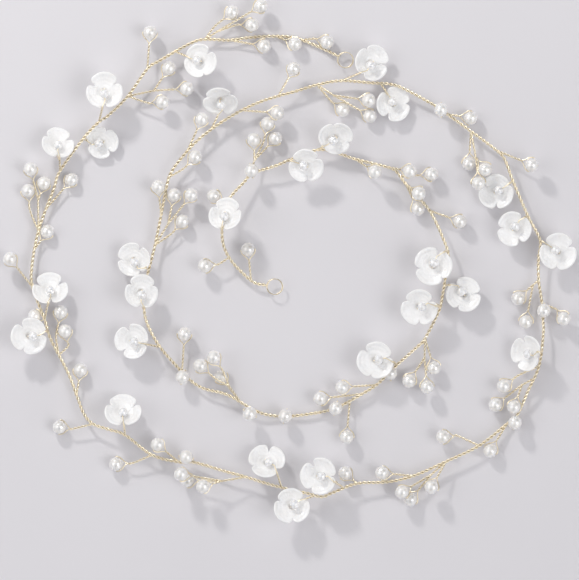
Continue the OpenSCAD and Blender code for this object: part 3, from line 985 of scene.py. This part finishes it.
@dataclass(frozen=True)
class PetalShell(Finish):
    """White shell-like petal: satin, a little translucent, with faint growth lines round the heart."""

    name: str = "petal_shell"
    light: Colour = (1.0, 0.995, 0.98)
    dark: Colour = (0.975, 0.97, 0.95)
    tone_scale: float = 420.0
    grain_scale: float = 1800.0
    rough_low: float = 0.24
    rough_high: float = 0.42
    depth: float = 0.0001
    grain_share: float = 0.04
    lines: tuple[GrowthLines, ...] = (
        GrowthLines("X", 1.4, 1.6, 0.8),
        GrowthLines("Y", 1.6, 1.5, 0.35),
    )
    uniform: ClassVar[Inputs] = {
        "Subsurface Weight": 0.6,
        "Subsurface Radius": (1.0, 0.95, 0.9),
        "Subsurface Scale": 0.0015,
        "Coat Weight": 0.25,
        "Coat Roughness": 0.15,
        "Specular IOR Level": 0.55,
    }

    def relief(self, look: Nodes, grain: Socket) -> Socket:
        """The grain, with lines round the heart and out from it on top.

        Args:
            look: the material's nodes.
            grain: the grain's height.

        Returns:
            The height of lines and grain together.
        """
        marks = look.add("ShaderNodeAttribute", attribute_name=PETAL_MARK).outputs["Vector"]
        height = self.added(look, grain, self.grain_share, 0.0)
        for line in self.lines:
            wave = look.add("ShaderNodeTexWave", {"Detail": 1.0}, bands_direction=line.direction)
            look.fill(wave, {"Vector": marks, "Scale": line.scale, "Distortion": line.bend})
            height = self.added(look, wave.outputs["Fac"], line.share, height)
        return height

    def added(self, look: Nodes, height: Socket, share: float, ground: Socket | float) -> Socket:
        """A height times a share, on top of a ground."""
        total = look.add("ShaderNodeMath", {0: height, 1: share, 2: ground}, operation="MULTIPLY_ADD")
        return total.outputs["Value"]


@dataclass(frozen=True)
class PalePaper(Finish):
    """The smooth pale surface that the vine lies on."""

    name: str = "pale_paper"
    light: Colour = (0.735, 0.722, 0.746)
    dark: Colour = (0.716, 0.703, 0.727)
    tone_scale: float = 9.0
    grain_scale: float = 900.0
    rough_low: float = 0.55
    rough_high: float = 0.7
    depth: float = 0.00002


# Sub-assemblies


@dataclass
class Part:
    """A sub-assembly: the places that it is built from, and what shifts them into the row frame."""

    places: Places
    shift: Array

    @property
    def sizes(self) -> Sizes:
        """The vine's sizes."""
        return self.places.sizes

    def dress(self, shape: Shape, name: str, slot: str, material: Material, node: str) -> None:
        """Makes a piece, dresses it, lets it ride and names the node that it stands for.

        Args:
            shape: its faces.
            name: its name.
            slot: the record's material slot, read only to pick the attribute that holds the marks.
            material: its material.
            node: the CAD node that it replaces.
        """
        piece = shape.make(name, PETAL_MARK if slot == "petal" else WIRE_MARK)
        piece.data.materials.append(material)
        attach(piece, "root")
        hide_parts(node)
        log.info("%s: %d faces, stands for %s", name, len(piece.data.polygons), node)


@dataclass
class Stem(Part):
    """The stem of doubled wire, twisted."""

    strands: int = 2
    lay: float = 3.3
    steps: int = 14
    sides: int = 8
    plump: float = 1.35

    def build(self, gold: Material) -> None:
        """Makes both turns.

        Args:
            gold: the wire's material.
        """
        radius = self.plump * self.sizes.stem_d / 4
        whole = self.places.stem
        split = run_along(whole)[self.places.stem_split]
        path = even_steps(whole, self.lay / self.steps)
        cut = int(np.argmin(np.abs(run_along(path) - split)))
        lines = twisted(path, self.strands, radius, self.lay)
        for turn, part in ((Turn.OUTER, slice(None, cut + 1)), (Turn.INNER, slice(cut, None))):
            shape = Shape(self.shift)
            for line, inward in lines:
                shape.add_tube(line[part], radius, self.sides, inward[part])
            self.dress(shape, f"stem_{turn.value}", "gold_wire", gold, f"wire_{turn.value}")


@dataclass(frozen=True)
class PearlHug:
    """How bare strands hold a pearl: lengths in millimetres, the hug's end in degrees from the twig,
    and its start as a share of the angle at which a strand first touches the pearl."""

    bow: float = 0.12
    bow_rates: tuple[float, float] = (3.1, 1.3)
    second_bow: float = 0.2
    gap: float = 0.03
    start: float = 0.35
    end: float = 82.0
    steps: int = 9
    bend: tuple[float, ...] = (0.33, 0.66, 1.0)
    bend_in: float = 0.45
    meet: float = 0.02


@dataclass(frozen=True)
class FlowerHold:
    """How a twig holds a flower. Leads and plunge are lengths in millimetres and full_over is in
    degrees off the notch. The others are shares: turn is one of the twig's angle off the notch, both
    rooms and leave are shares of what they follow, both depths of the strand's depth under the
    petals, and the rest of the flower's width."""

    turn: float = 0.7
    neck_out: float = 0.44
    neck_up: float = 0.1
    over_petal: float = 0.08
    full_over: float = 25.0
    gate_out: float = 0.52
    gate_up: float = 0.02
    loop_room: float = 1.06
    wall_room: float = 1.2
    lead_out: float = 0.5
    lead_up: float = 0.1
    leave: float = 0.88
    plunge: tuple[float, float] = (-0.25, 0.25)
    end_depth: float = 0.7
    back_out: float = 0.2
    back_depth: float = 0.8


@dataclass
class Twigs(Part):
    """The twigs of one turn: two twisted strands each, which open at a pearl or a flower."""

    turn: Turn
    lay: float = 2.7
    steps: int = 13
    sides: int = 6
    plump: float = 1.45
    arm_plump: float = 1.35
    curve_steps: int = 8
    arm_steps: int = 5
    hug: PearlHug = PearlHug()
    hold: FlowerHold = FlowerHold()
    shape: Shape = field(init=False)

    def __post_init__(self) -> None:
        """Starts an empty shape."""
        self.shape = Shape(self.shift)

    @property
    def radius(self) -> float:
        """Radius of one strand where the two are twisted."""
        return self.plump * self.sizes.strand_d / 2

    @property
    def arm_radius(self) -> float:
        """Radius of a strand that goes on alone."""
        return self.arm_plump * self.sizes.strand_d / 2

    def build(self, gold: Material) -> None:
        """Makes the twigs.

        Args:
            gold: the wire's material.
        """
        for fork in FORKS[self.turn]:
            root = self.places.nearest(self.turn, fork.root_x, fork.root_y)
            tip = self.places.fork_tip(fork)
            self.add_strands([root, tip], across(unit(tip - root)), [None, None])
        for row in PEARLS[self.turn]:
            self.add_pearl_twig(row)
        for row in FLOWERS[self.turn]:
            self.add_flower_twig(row)
        name = self.turn.value
        self.dress(self.shape, f"twigs_{name}", "gold_wire", gold, f"wire_{name}")

    def add_strands(self, stops: Sequence[Array], opens: Array, arms: Sequence[Array | None]) -> None:
        """Takes in a twig's two strands.

        Args:
            stops: the points that the twig passes, root first.
            opens: the direction in which its first strand leaves at the end.
            arms: how each strand goes on from there, or None.
        """
        path = even_steps(smooth_curve(np.array(stops), self.curve_steps), self.lay / self.steps)
        _, side, up = carried_frames(path)
        phase = math.atan2(float(np.dot(opens, up[-1])), float(np.dot(opens, side[-1])))
        for (line, inward), arm in zip(twisted(path, 2, self.radius, self.lay, phase), arms):
            thick = np.full(len(line), self.radius)
            if arm is not None:
                line = np.vstack([line, arm])
                thick = np.concatenate([thick, np.full(len(arm), self.arm_radius)])
            self.shape.add_tube(line, thick, self.sides, inward)

    def add_pearl_twig(self, row: PearlTwig) -> None:
        """Takes in one pearl's twig and the strands that hug the pearl and meet in its hole.

        Args:
            row: the pearl.
        """
        centre, root, via, down, side = self.places.pearl(self.turn, row)
        neck = root if row.on_stem else centre + self.sizes.neck_r * down
        by_x, by_y = self.hug.bow_rates
        bow = self.hug.bow * (1 + math.sin(by_x * row.x + by_y * row.y)) / 2
        arms = [
            self.hugging_arm(centre, down, sign * side, share * bow)
            for sign, share in ((1, 1), (-1, self.hug.second_bow))
        ]
        if row.on_stem:
            for arm in arms:
                self.shape.add_tube(np.vstack([neck, arm]), self.arm_radius, self.sides)
            return
        stops = [root, neck] if via is None else [root, via, neck]
        self.add_strands(stops, side, arms)

    def hugging_arm(self, centre: Array, down: Array, side: Array, bow: float) -> Array:
        """The strand from a twig's end round one side of a pearl into its hole.

        Args:
            centre: the pearl's centre.
            down: direction from there to the twig's end.
            side: direction from there to this strand's hole.
            bow: how far the strand stands off the pearl halfway round.

        Returns:
            The strand's points, up to the pearl's middle.
        """
        sizes, hug = self.sizes, self.hug
        snug = sizes.pearl_d / 2 + self.arm_radius + hug.gap
        touch = math.degrees(math.acos(snug / sizes.neck_r))
        points = []
        for angle in np.linspace(touch * hug.start, hug.end, hug.steps):
            a = math.radians(angle)
            r = snug if angle > touch else snug / math.cos(math.radians(touch - angle))
            r += bow * math.sin(math.pi * angle / 90.0) ** 2
            points.append(centre + r * (math.cos(a) * down + math.sin(a) * side))
        corner = centre + (snug + hug.gap) * side
        inside = centre + (snug - hug.bend_in) * side
        last = points[-1]
        for t in hug.bend:
            points.append((1 - t) ** 2 * last + 2 * t * (1 - t) * corner + t * t * inside)
        points.append(centre + hug.meet * side)
        return np.array(points)

    def add_flower_twig(self, row: FlowerRow) -> None:
        """Takes in a flower's twig: one strand runs over the petals through the heart's pearl, and
        back behind them to the notch.

        Args:
            row: the flower.
        """
        sizes, places, hold = self.sizes, self.places, self.hold
        size = row.size / 100
        neck, gate = self.flower_neck(row)
        reach = sizes.loop_r(sizes.heart_d) * hold.loop_room
        under = size * sizes.petal_wall * hold.wall_room + sizes.wire_gap + sizes.strand_d
        pull, high = sizes.heart_pull, sizes.heart_h
        end = (0.0, -under * hold.end_depth)
        over = [
            (pull + reach + hold.lead_out, high + hold.lead_up),
            (pull + reach, high),
            (pull, high),
            (pull - reach * hold.leave, high),
            hold.plunge,
            end,
        ]
        back = [(size * sizes.flower_d * hold.back_out, -under * hold.back_depth), end]
        arms = [
            smooth_curve(np.array(start + [places.flower_point(row, *p) for p in line]), self.arm_steps)
            for start, line in (([neck], over), ([neck, gate], back))
        ]
        root = places.nearest(self.turn, row.root_x, row.root_y)
        up = unit(places.flower_point(row, 0, 1) - places.flower_heart(row))
        self.add_strands([root, neck], up, [arm[1:] for arm in arms])

    def flower_neck(self, row: FlowerRow) -> list[Array]:
        """Where a flower's twig comes over its rim, and where its other strand goes under it.

        Args:
            row: the flower.

        Returns:
            The two points. Between two petals the twig lies low, and over a petal higher.
        """
        places, hold = self.places, self.hold
        reach = row.size / 100 * self.sizes.flower_d
        away = places.nearest(self.turn, row.root_x, row.root_y) - places.flower_heart(row)
        off = math.degrees(math.atan2(away[1], away[0])) - places.flower_notch(row)
        off = (off + 180.0) % 360.0 - 180.0
        turn = math.radians(hold.turn * off)
        high = hold.neck_up + hold.over_petal * min(1.0, abs(off) / hold.full_over)
        ahead, aside = math.cos(turn), math.sin(turn)
        return [
            places.flower_point(row, out * reach * ahead, up * reach, out * reach * aside)
            for out, up in ((hold.neck_out, high), (hold.gate_out, hold.gate_up))
        ]


@dataclass
class EndEye(Part):
    """A round eye of smooth doubled wire, with a twisted neck, at one end of the stem."""

    turn: Turn
    sides: int = 6
    ring_steps: int = 160
    ring_turns: int = 1
    neck_strands: int = 3
    neck_lay: float = 1.9
    neck_reach: float = 0.24
    neck_radius: float = 0.2
    neck_step: float = 0.1
    neck_start: float = 0.2
    neck_past: float = 0.25

    def build(self, gold: Material) -> None:
        """Makes the eye.

        Args:
            gold: the wire's material.
        """
        sizes = self.sizes
        stem = self.places.anchors[self.turn]
        last = len(stem) - len(FORKS[self.turn]) - 1
        end, before = (stem[0], stem[1]) if self.turn is Turn.OUTER else (stem[last], stem[last - 1])
        way = unit(end - before)
        ring_r = (sizes.eye_d + sizes.eye_wire) / 2
        centre = end + (sizes.eye_neck + ring_r + sizes.eye_wire / 2) * way
        angles = np.linspace(0, 2 * math.pi, self.ring_steps, endpoint=False)
        shape = Shape(self.shift)
        self.add_ring(shape, centre - ring_r * circle(angles, way, across(way)))
        stops = [end - self.neck_start * way, end + (sizes.eye_neck + self.neck_past) * way]
        neck = even_steps(np.array(stops), self.neck_step)
        for line, inward in twisted(neck, self.neck_strands, self.neck_reach, self.neck_lay):
            shape.add_tube(line, self.neck_radius, self.sides, inward)
        name = f"eye_{self.turn.value}"
        self.dress(shape, f"{name}_wire", "gold_wire", gold, name)

    def add_ring(self, shape: Shape, ring: Array) -> None:
        """Takes in the doubled wire of the ring, with whole turns all round.

        Args:
            shape: where it goes.
            ring: the ring's points.
        """
        radius = self.sizes.eye_wire / 4
        out = ring - ring.mean(0)
        out /= np.linalg.norm(out, axis=1)[:, None]
        up = np.cross(out[0], out[len(out) // 4])
        angle = np.arange(len(ring)) * 2 * math.pi * self.ring_turns / len(ring)
        for half_turn in (0.0, math.pi):
            away = circle(angle + half_turn, out, up)
            shape.add_tube(ring + radius * away, radius, self.sides, -away, closed=True)


@dataclass
class Beads:
    """Round beads with a drilled hole whose lip is softly rounded."""

    diameter: float
    hole: float
    segments: int = 28
    rows: int = 18
    lip: float = 0.1
    lip_in: float = 0.3
    lip_up: float = 0.1

    def add(self, shape: Shape, centre: Array, axis: Array) -> None:
        """Takes in one bead.

        Args:
            shape: where it goes.
            centre: its centre.
            axis: direction of its hole.
        """
        ball, bore = self.diameter / 2, self.hole / 2
        first = math.asin((bore + self.lip) / ball)
        end = ball * math.cos(first)
        lean = np.linspace(math.pi - first, first, self.rows)
        profile = [(ball * math.sin(a), ball * math.cos(a)) for a in lean]
        lips = [(bore + self.lip_in * self.lip, end - self.lip_up * self.lip), (bore, end - self.lip)]
        profile += lips + [(r, -h) for r, h in reversed(lips)]
        side = across(axis)
        turn = np.arange(self.segments) * 2 * math.pi / self.segments
        rim = circle(turn, side, np.cross(axis, side))
        index = shape.add_points(np.array([centre + r * rim + h * axis for r, h in profile]))
        shape.add_quads(index, wrap_rows=True, wrap_cols=True)


@dataclass
class TwigPearls(Part):
    """The pearls on the twigs of one turn."""

    turn: Turn
    piece: str = "twig_pearls"
    node: str = "pearls"

    def beads(self) -> Beads:
        """How the beads are made."""
        return Beads(self.sizes.pearl_d, self.sizes.pearl_hole)

    def spots(self) -> list[tuple[Array, Array]]:
        """Where the beads are.

        Returns:
            Centre and direction of the hole of each.
        """
        pearls = [self.places.pearl(self.turn, row) for row in PEARLS[self.turn]]
        return [(pearl.centre, pearl.side) for pearl in pearls]

    def build(self, lustre: Material) -> None:
        """Makes the pearls.

        Args:
            lustre: the pearls' material.
        """
        beads, shape = self.beads(), Shape(self.shift)
        for centre, axis in self.spots():
            beads.add(shape, centre, axis)
        name = self.turn.value
        self.dress(shape, f"{self.piece}_{name}", "pearl", lustre, f"{self.node}_{name}")


@dataclass
class HeartPearls(TwigPearls):
    """The small pearls at the hearts of one turn's flowers."""

    piece: str = "heart_pearls"
    node: str = "hearts"

    def beads(self) -> Beads:
        """How the beads are made."""
        sizes = self.sizes
        return Beads(sizes.heart_d, sizes.heart_hole, segments=24, rows=16, lip=0.08)

    def spots(self) -> list[tuple[Array, Array]]:
        """Where the beads are.

        Returns:
            Centre and direction of the hole of each.
        """
        places, rows = self.places, FLOWERS[self.turn]
        axes = [unit(places.flower_point(row, 1, 0) - places.flower_heart(row)) for row in rows]
        return [(places.heart_centre(row), axis) for row, axis in zip(rows, axes)]


class Notch(NamedTuple):
    """The notch between two petals: where their outer arcs end, their corners' radius and its depth."""

    spread: float
    corner: float
    deep: float


@dataclass
class Flower(Part):
    """One flower: three dished petals pressed from one thin white sheet, with notches between them."""

    number: int
    row: FlowerRow
    seed: int = 700
    inner_rows: int = 12
    inner_crowding: float = 1.15
    rim_rows: int = 5
    rim_bead: float = 0.09
    bead_in: float = 0.5
    bead_width: float = 0.4
    ripple: float = 0.22
    waves: tuple[tuple[int, int, float], ...] = ((3, 1, 0.6), (5, -2, 0.4))
    bulge: float = 1.1
    corner_r: float = 1.6
    corner_wander: tuple[float, float] = (-0.2, 0.25)
    corner_sweep: float = 125.0
    spread: float = 49.5
    spread_wander: tuple[float, float] = (-3.5, 2.0)
    notch_wander: tuple[float, float] = (0.1, 0.8)
    notch_pull: float = 1.2
    slit: float = 0.02
    arc_steps: int = 12
    corner_steps: int = 19

    def build(self, shell: Material) -> None:
        """Makes the flower.

        Args:
            shell: the petals' material.
        """
        wander = np.random.default_rng(self.seed + self.number)
        seams = [
            Notch(
                math.radians(self.spread + wander.uniform(*self.spread_wander)),
                self.corner_r + wander.uniform(*self.corner_wander),
                wander.uniform(*self.notch_wander),
            )
            for _ in range(3)
        ]
        parts = [self.petal(k, self.outline(seams[k - 1], seams[k]), wander) for k in range(3)]
        top, under, marks = (np.concatenate([part[n][:-1] for part in parts]) for n in range(3))
        shape = Shape(self.shift)
        upper = shape.add_points(top, marks)
        lower = upper.copy()
        lower[:, 1:-1] = shape.add_points(under[:, 1:-1], marks[:, 1:-1])
        shape.add_quads(upper, wrap_rows=True)
        shape.add_quads(lower[:, ::-1], wrap_rows=True)
        self.dress(shape, f"petals_{self.number:02d}", "petal", shell, f"flower_{self.number:02d}")

    def outline(self, low: Notch, high: Notch) -> Array:
        """A petal's outer edge from one notch to the next, flat, in millimetres.

        Args:
            low: the notch before the petal.
            high: the notch after it.

        Returns:
            The edge's points.
        """
        arc_r = self.sizes.flower_d / 2 - self.bulge
        lap = math.radians(self.sizes.petal_pitch / 2)
        seam = np.array([math.cos(lap), math.sin(lap)])
        halves = []
        for spread, corner, deep in (high, low):
            half = [self.round_point(arc_r, a) for a in np.linspace(0, spread, self.arc_steps + 1)[:-1]]
            middle = self.round_point(arc_r - corner, spread)
            last = 0.0
            sweep = spread + math.radians(self.corner_sweep)
            for b in np.linspace(spread, sweep, self.corner_steps):
                point = middle + corner * np.array([math.cos(b), math.sin(b)])
                angle = math.atan2(point[1], point[0])
                if not last <= angle < lap - self.slit:
                    break
                last = angle
                half.append(point)
            gap = abs(float(half[-1][0] * seam[1] - half[-1][1] * seam[0]))
            half.append((float(np.dot(half[-1], seam)) - self.notch_pull * gap - deep) * seam)
            halves.append(half)
        lower = [p * np.array([1, -1]) for p in halves[1][:0:-1]]
        return np.array(lower + halves[0])

    def round_point(self, radius: float, angle: float) -> Array:
        """A point on a circle about the middle of a petal's outer arc."""
        return np.array([self.bulge + radius * math.cos(angle), radius * math.sin(angle)])

    def grid(self, edge: Array) -> tuple[Array, Array]:
        """Flat places over a petal, from its edge to the hole.

        Args:
            edge: the petal's outer edge.

        Returns:
            The places, edge points by rows, and how far each is from the edge.
        """
        sizes = self.sizes
        half = sizes.petal_wall / 2
        way = np.gradient(edge, axis=0)
        inward = np.stack([-way[:, 1], way[:, 0]], axis=1)
        inward[[0, -1]] = -edge[[0, -1]]
        inward /= np.linalg.norm(inward, axis=1)[:, None]
        depths = half * (1 - np.cos(np.linspace(0.0, math.pi / 2, self.rim_rows)))
        rim = edge[:, None] + depths[None, :, None] * inward[:, None]
        angle = np.arctan2(edge[:, 1], edge[:, 0])
        hole = sizes.flower_hole / 2 * np.stack([np.cos(angle), np.sin(angle)], axis=1)
        share = np.linspace(0.0, 1.0, self.inner_rows + 1)[1:] ** self.inner_crowding
        inner = rim[:, -1:] + share[None, :, None] * (hole - rim[:, -1])[:, None]
        reach = np.linalg.norm(hole - rim[:, -1], axis=1)
        far = half + share[None, :] * reach[:, None]
        return np.concatenate([rim, inner], axis=1), np.hstack([np.tile(depths, (len(edge), 1)), far])

    def petal(self, k: int, edge: Array, wander: np.random.Generator) -> tuple[Array, Array, Array]:
        """The places over one petal and under it.

        Args:
            k: which of the three petals.
            edge: its outer edge.
            wander: the source of its small irregularities.

        Returns:
            The upper face's points, the under face's, and the marks that the finish reads.
        """
        sizes = self.sizes
        half = sizes.petal_wall / 2
        flat, depth = self.grid(edge)
        radius = np.linalg.norm(flat, axis=2)
        angle = np.arctan2(flat[..., 1], flat[..., 0])
        near = np.clip(np.minimum(depth, radius - sizes.flower_hole / 2) / half, 0, 1)
        thick = half * np.sqrt(1 - (1 - near) ** 2)
        centre = np.array([sizes.dish_off, 0.0, sizes.dish_h])
        drop = (sizes.dish_r + half) ** 2 - (flat[..., 0] - centre[0]) ** 2 - flat[..., 1] ** 2
        middle = np.stack([flat[..., 0], flat[..., 1], centre[2] - np.sqrt(drop)], axis=-1)
        reach = radius / (sizes.flower_d / 2)
        free = np.clip(1 - (angle / math.radians(sizes.petal_pitch / 2)) ** 2, 0, 1)
        phase, tilt = wander.uniform(0, 2 * math.pi), wander.uniform(-1, 1)
        waves = [share * np.sin(rate * angle + late * phase) for rate, late, share in self.waves]
        middle[..., 2] += self.ripple * (sum(waves) + tilt) * free * reach**3
        normal = (centre - middle) / np.linalg.norm(centre - middle, axis=-1)[..., None]
        bead = self.rim_bead * np.exp(-(((depth - self.bead_in) / self.bead_width) ** 2)) * (near >= 1)
        marks = np.stack([reach, np.abs(angle), np.full_like(reach, float(self.number))], axis=-1)
        top = middle + (thick + bead)[..., None] * normal
        under = middle - thick[..., None] * normal
        return self.set_out(k, top), self.set_out(k, under), marks

    def set_out(self, k: int, points: Array) -> Array:
        """A petal's points turned, sized and leant into the part's frame.

        Args:
            k: which of the three petals.
            points: the points, with the petal along X.

        Returns:
            The points in the part's frame.
        """
        turn = math.radians(self.row.spin + k * self.sizes.petal_pitch)
        spin = np.array([[math.cos(turn), math.sin(turn)], [-math.sin(turn), math.cos(turn)]])
        level = np.concatenate([points[..., :2] @ spin, points[..., 2:]], axis=-1) * self.row.size / 100
        return self.places.flower_heart(self.row) + self.places.flower_turn(self.row, level)


class SoftBox(NamedTuple):
    """A soft patch of the studio's sky: its direction, its half width in degrees, and its light, which
    is below 0 for a dark patch."""

    x: float
    y: float
    z: float
    reach: float
    light: float


@dataclass
class Studio:
    """The pale surface, the soft lights and the camera straight above."""

    places: Places
    shift: Array
    floor_reach: float = 1.5
    frame_squares: float = 580.0
    middle_square: tuple[float, float] = (289.5, 290.0)
    distance: float = 5.0
    middle_height: float = 0.005
    sensor: float = 36.0
    fill: float = 0.6
    sky_colour: Colour = (0.985, 0.98, 1.0)
    key_towards: tuple[float, float, float] = (-0.416, 0.693, 0.588)
    key_distance: float = 0.9
    key_size: float = 0.11
    key_power: float = 2.6
    key_colour: Colour = (1.0, 0.985, 0.96)
    sky: tuple[SoftBox, ...] = (
        SoftBox(0.0, -0.64, 0.77, 21.0, -0.57),
        SoftBox(0.62, 0.60, 0.50, 18.0, -0.57),
        SoftBox(-0.70, 0.06, 0.70, 18.0, 1.05),
        SoftBox(0.57, -0.13, 0.81, 15.0, 2.2),
        SoftBox(0.55, -0.60, 0.40, 30.0, 0.5),
    )
    sky_edge: tuple[float, float] = (1.5, 0.5)

    def build(self, paper: Material) -> None:
        """Makes the floor, the lights and the camera.

        Args:
            paper: the floor's material.
        """
        bpy.context.scene.view_settings.view_transform = "Standard"
        self.add_floor(paper)
        self.add_sky()
        self.add_key()
        self.add_camera()

    def add_floor(self, paper: Material) -> None:
        """The surface, as high as the vine's lowest point.

        Args:
            paper: its material.
        """
        level, w = float(cad_box[0][2]), self.floor_reach
        mesh = bpy.data.meshes.new("floor")
        corners = [(-w, -w, level), (w, -w, level), (w, w, level), (-w, w, level)]
        mesh.from_pydata(corners, [], [(0, 1, 2, 3)])
        mesh.materials.append(paper)
        placed("floor", mesh)

    def add_sky(self) -> None:
        """Even light from all round, with three bright soft patches and two dark ones in it."""
        world = bpy.data.worlds.new("studio")
        world.use_nodes = True
        bpy.context.scene.world = world
        nodes = Nodes(world.node_tree)
        way = nodes.add("ShaderNodeTexCoord").outputs["Generated"]
        total: Socket | float = self.fill
        for box in self.sky:
            towards = Vector(box[:3]).normalized()
            facing = nodes.add("ShaderNodeVectorMath", operation="DOT_PRODUCT")
            nodes.fill(facing, {0: way, 1: towards})
            outer, inner = (math.cos(math.radians(edge * box.reach)) for edge in self.sky_edge)
            glow = nodes.add("ShaderNodeMapRange", interpolation_type="SMOOTHSTEP")
            nodes.fill(glow, {"Value": facing.outputs["Value"], "To Max": box.light})
            nodes.fill(glow, {"From Min": outer, "From Max": inner})
            both = nodes.add("ShaderNodeMath", {0: total, 1: glow.outputs["Result"]})
            total = both.outputs["Value"]
        back = world.node_tree.nodes["Background"]
        nodes.fill(back, {"Color": rgba(self.sky_colour), "Strength": total})

    def add_key(self) -> None:
        """The main light, from the upper left, small enough for shadows with an edge."""
        data = bpy.data.lights.new("key", "AREA")
        data.shape = "DISK"
        data.size = self.key_size
        data.energy = self.key_power
        data.color = self.key_colour
        lamp = placed("key", data)
        towards = Vector(self.key_towards).normalized()
        lamp.rotation_euler = towards.to_track_quat("Z", "Y").to_euler()
        lamp.location = self.key_distance * towards
        lamp.visible_camera = False

    def add_camera(self) -> None:
        """The camera straight above, far off, so that heights hardly shift what it sees."""
        square = self.places.sizes.square * MM
        data = bpy.data.cameras.new("camera")
        data.sensor_width = self.sensor
        data.lens = self.sensor * self.distance / (self.frame_squares * square)
        data.clip_end = 4 * self.distance
        camera = placed("camera", data)
        x, y = self.places.plan(*self.middle_square) * MM + self.shift[:2]
        camera.location = (x, y, self.distance + self.middle_height)
        bpy.context.scene.camera = camera


def main() -> None:
    """Builds the vine's sub-assemblies in order, then the studio."""
    logging.basicConfig(level=logging.INFO, format="%(name)s: %(message)s")
    places = Places(Sizes())
    shift = places.shift()
    log.info("the part's frame lies at %s in the row frame", np.round(shift, 6))
    effects = Effects(cloudy_tone(), fine_grain())
    gold = GoldWire().make(effects)
    lustre = PearlLustre().make(effects)
    white = PearlLustre("heart_pearl_lustre", (0.98, 0.97, 0.95), (0.93, 0.92, 0.90)).make(effects)
    shell = PetalShell().make(effects)
    Stem(places, shift).build(gold)
    for turn in Turn:
        Twigs(places, shift, turn).build(gold)
        EndEye(places, shift, turn).build(gold)
        TwigPearls(places, shift, turn).build(lustre)
        HeartPearls(places, shift, turn).build(white)
    rows = [row for turn in Turn for row in FLOWERS[turn]]
    for number, row in enumerate(rows, 1):
        Flower(places, shift, number, row).build(shell)
    Studio(places, shift).build(PalePaper().make(effects))


if __name__ == "__main__":
    main()
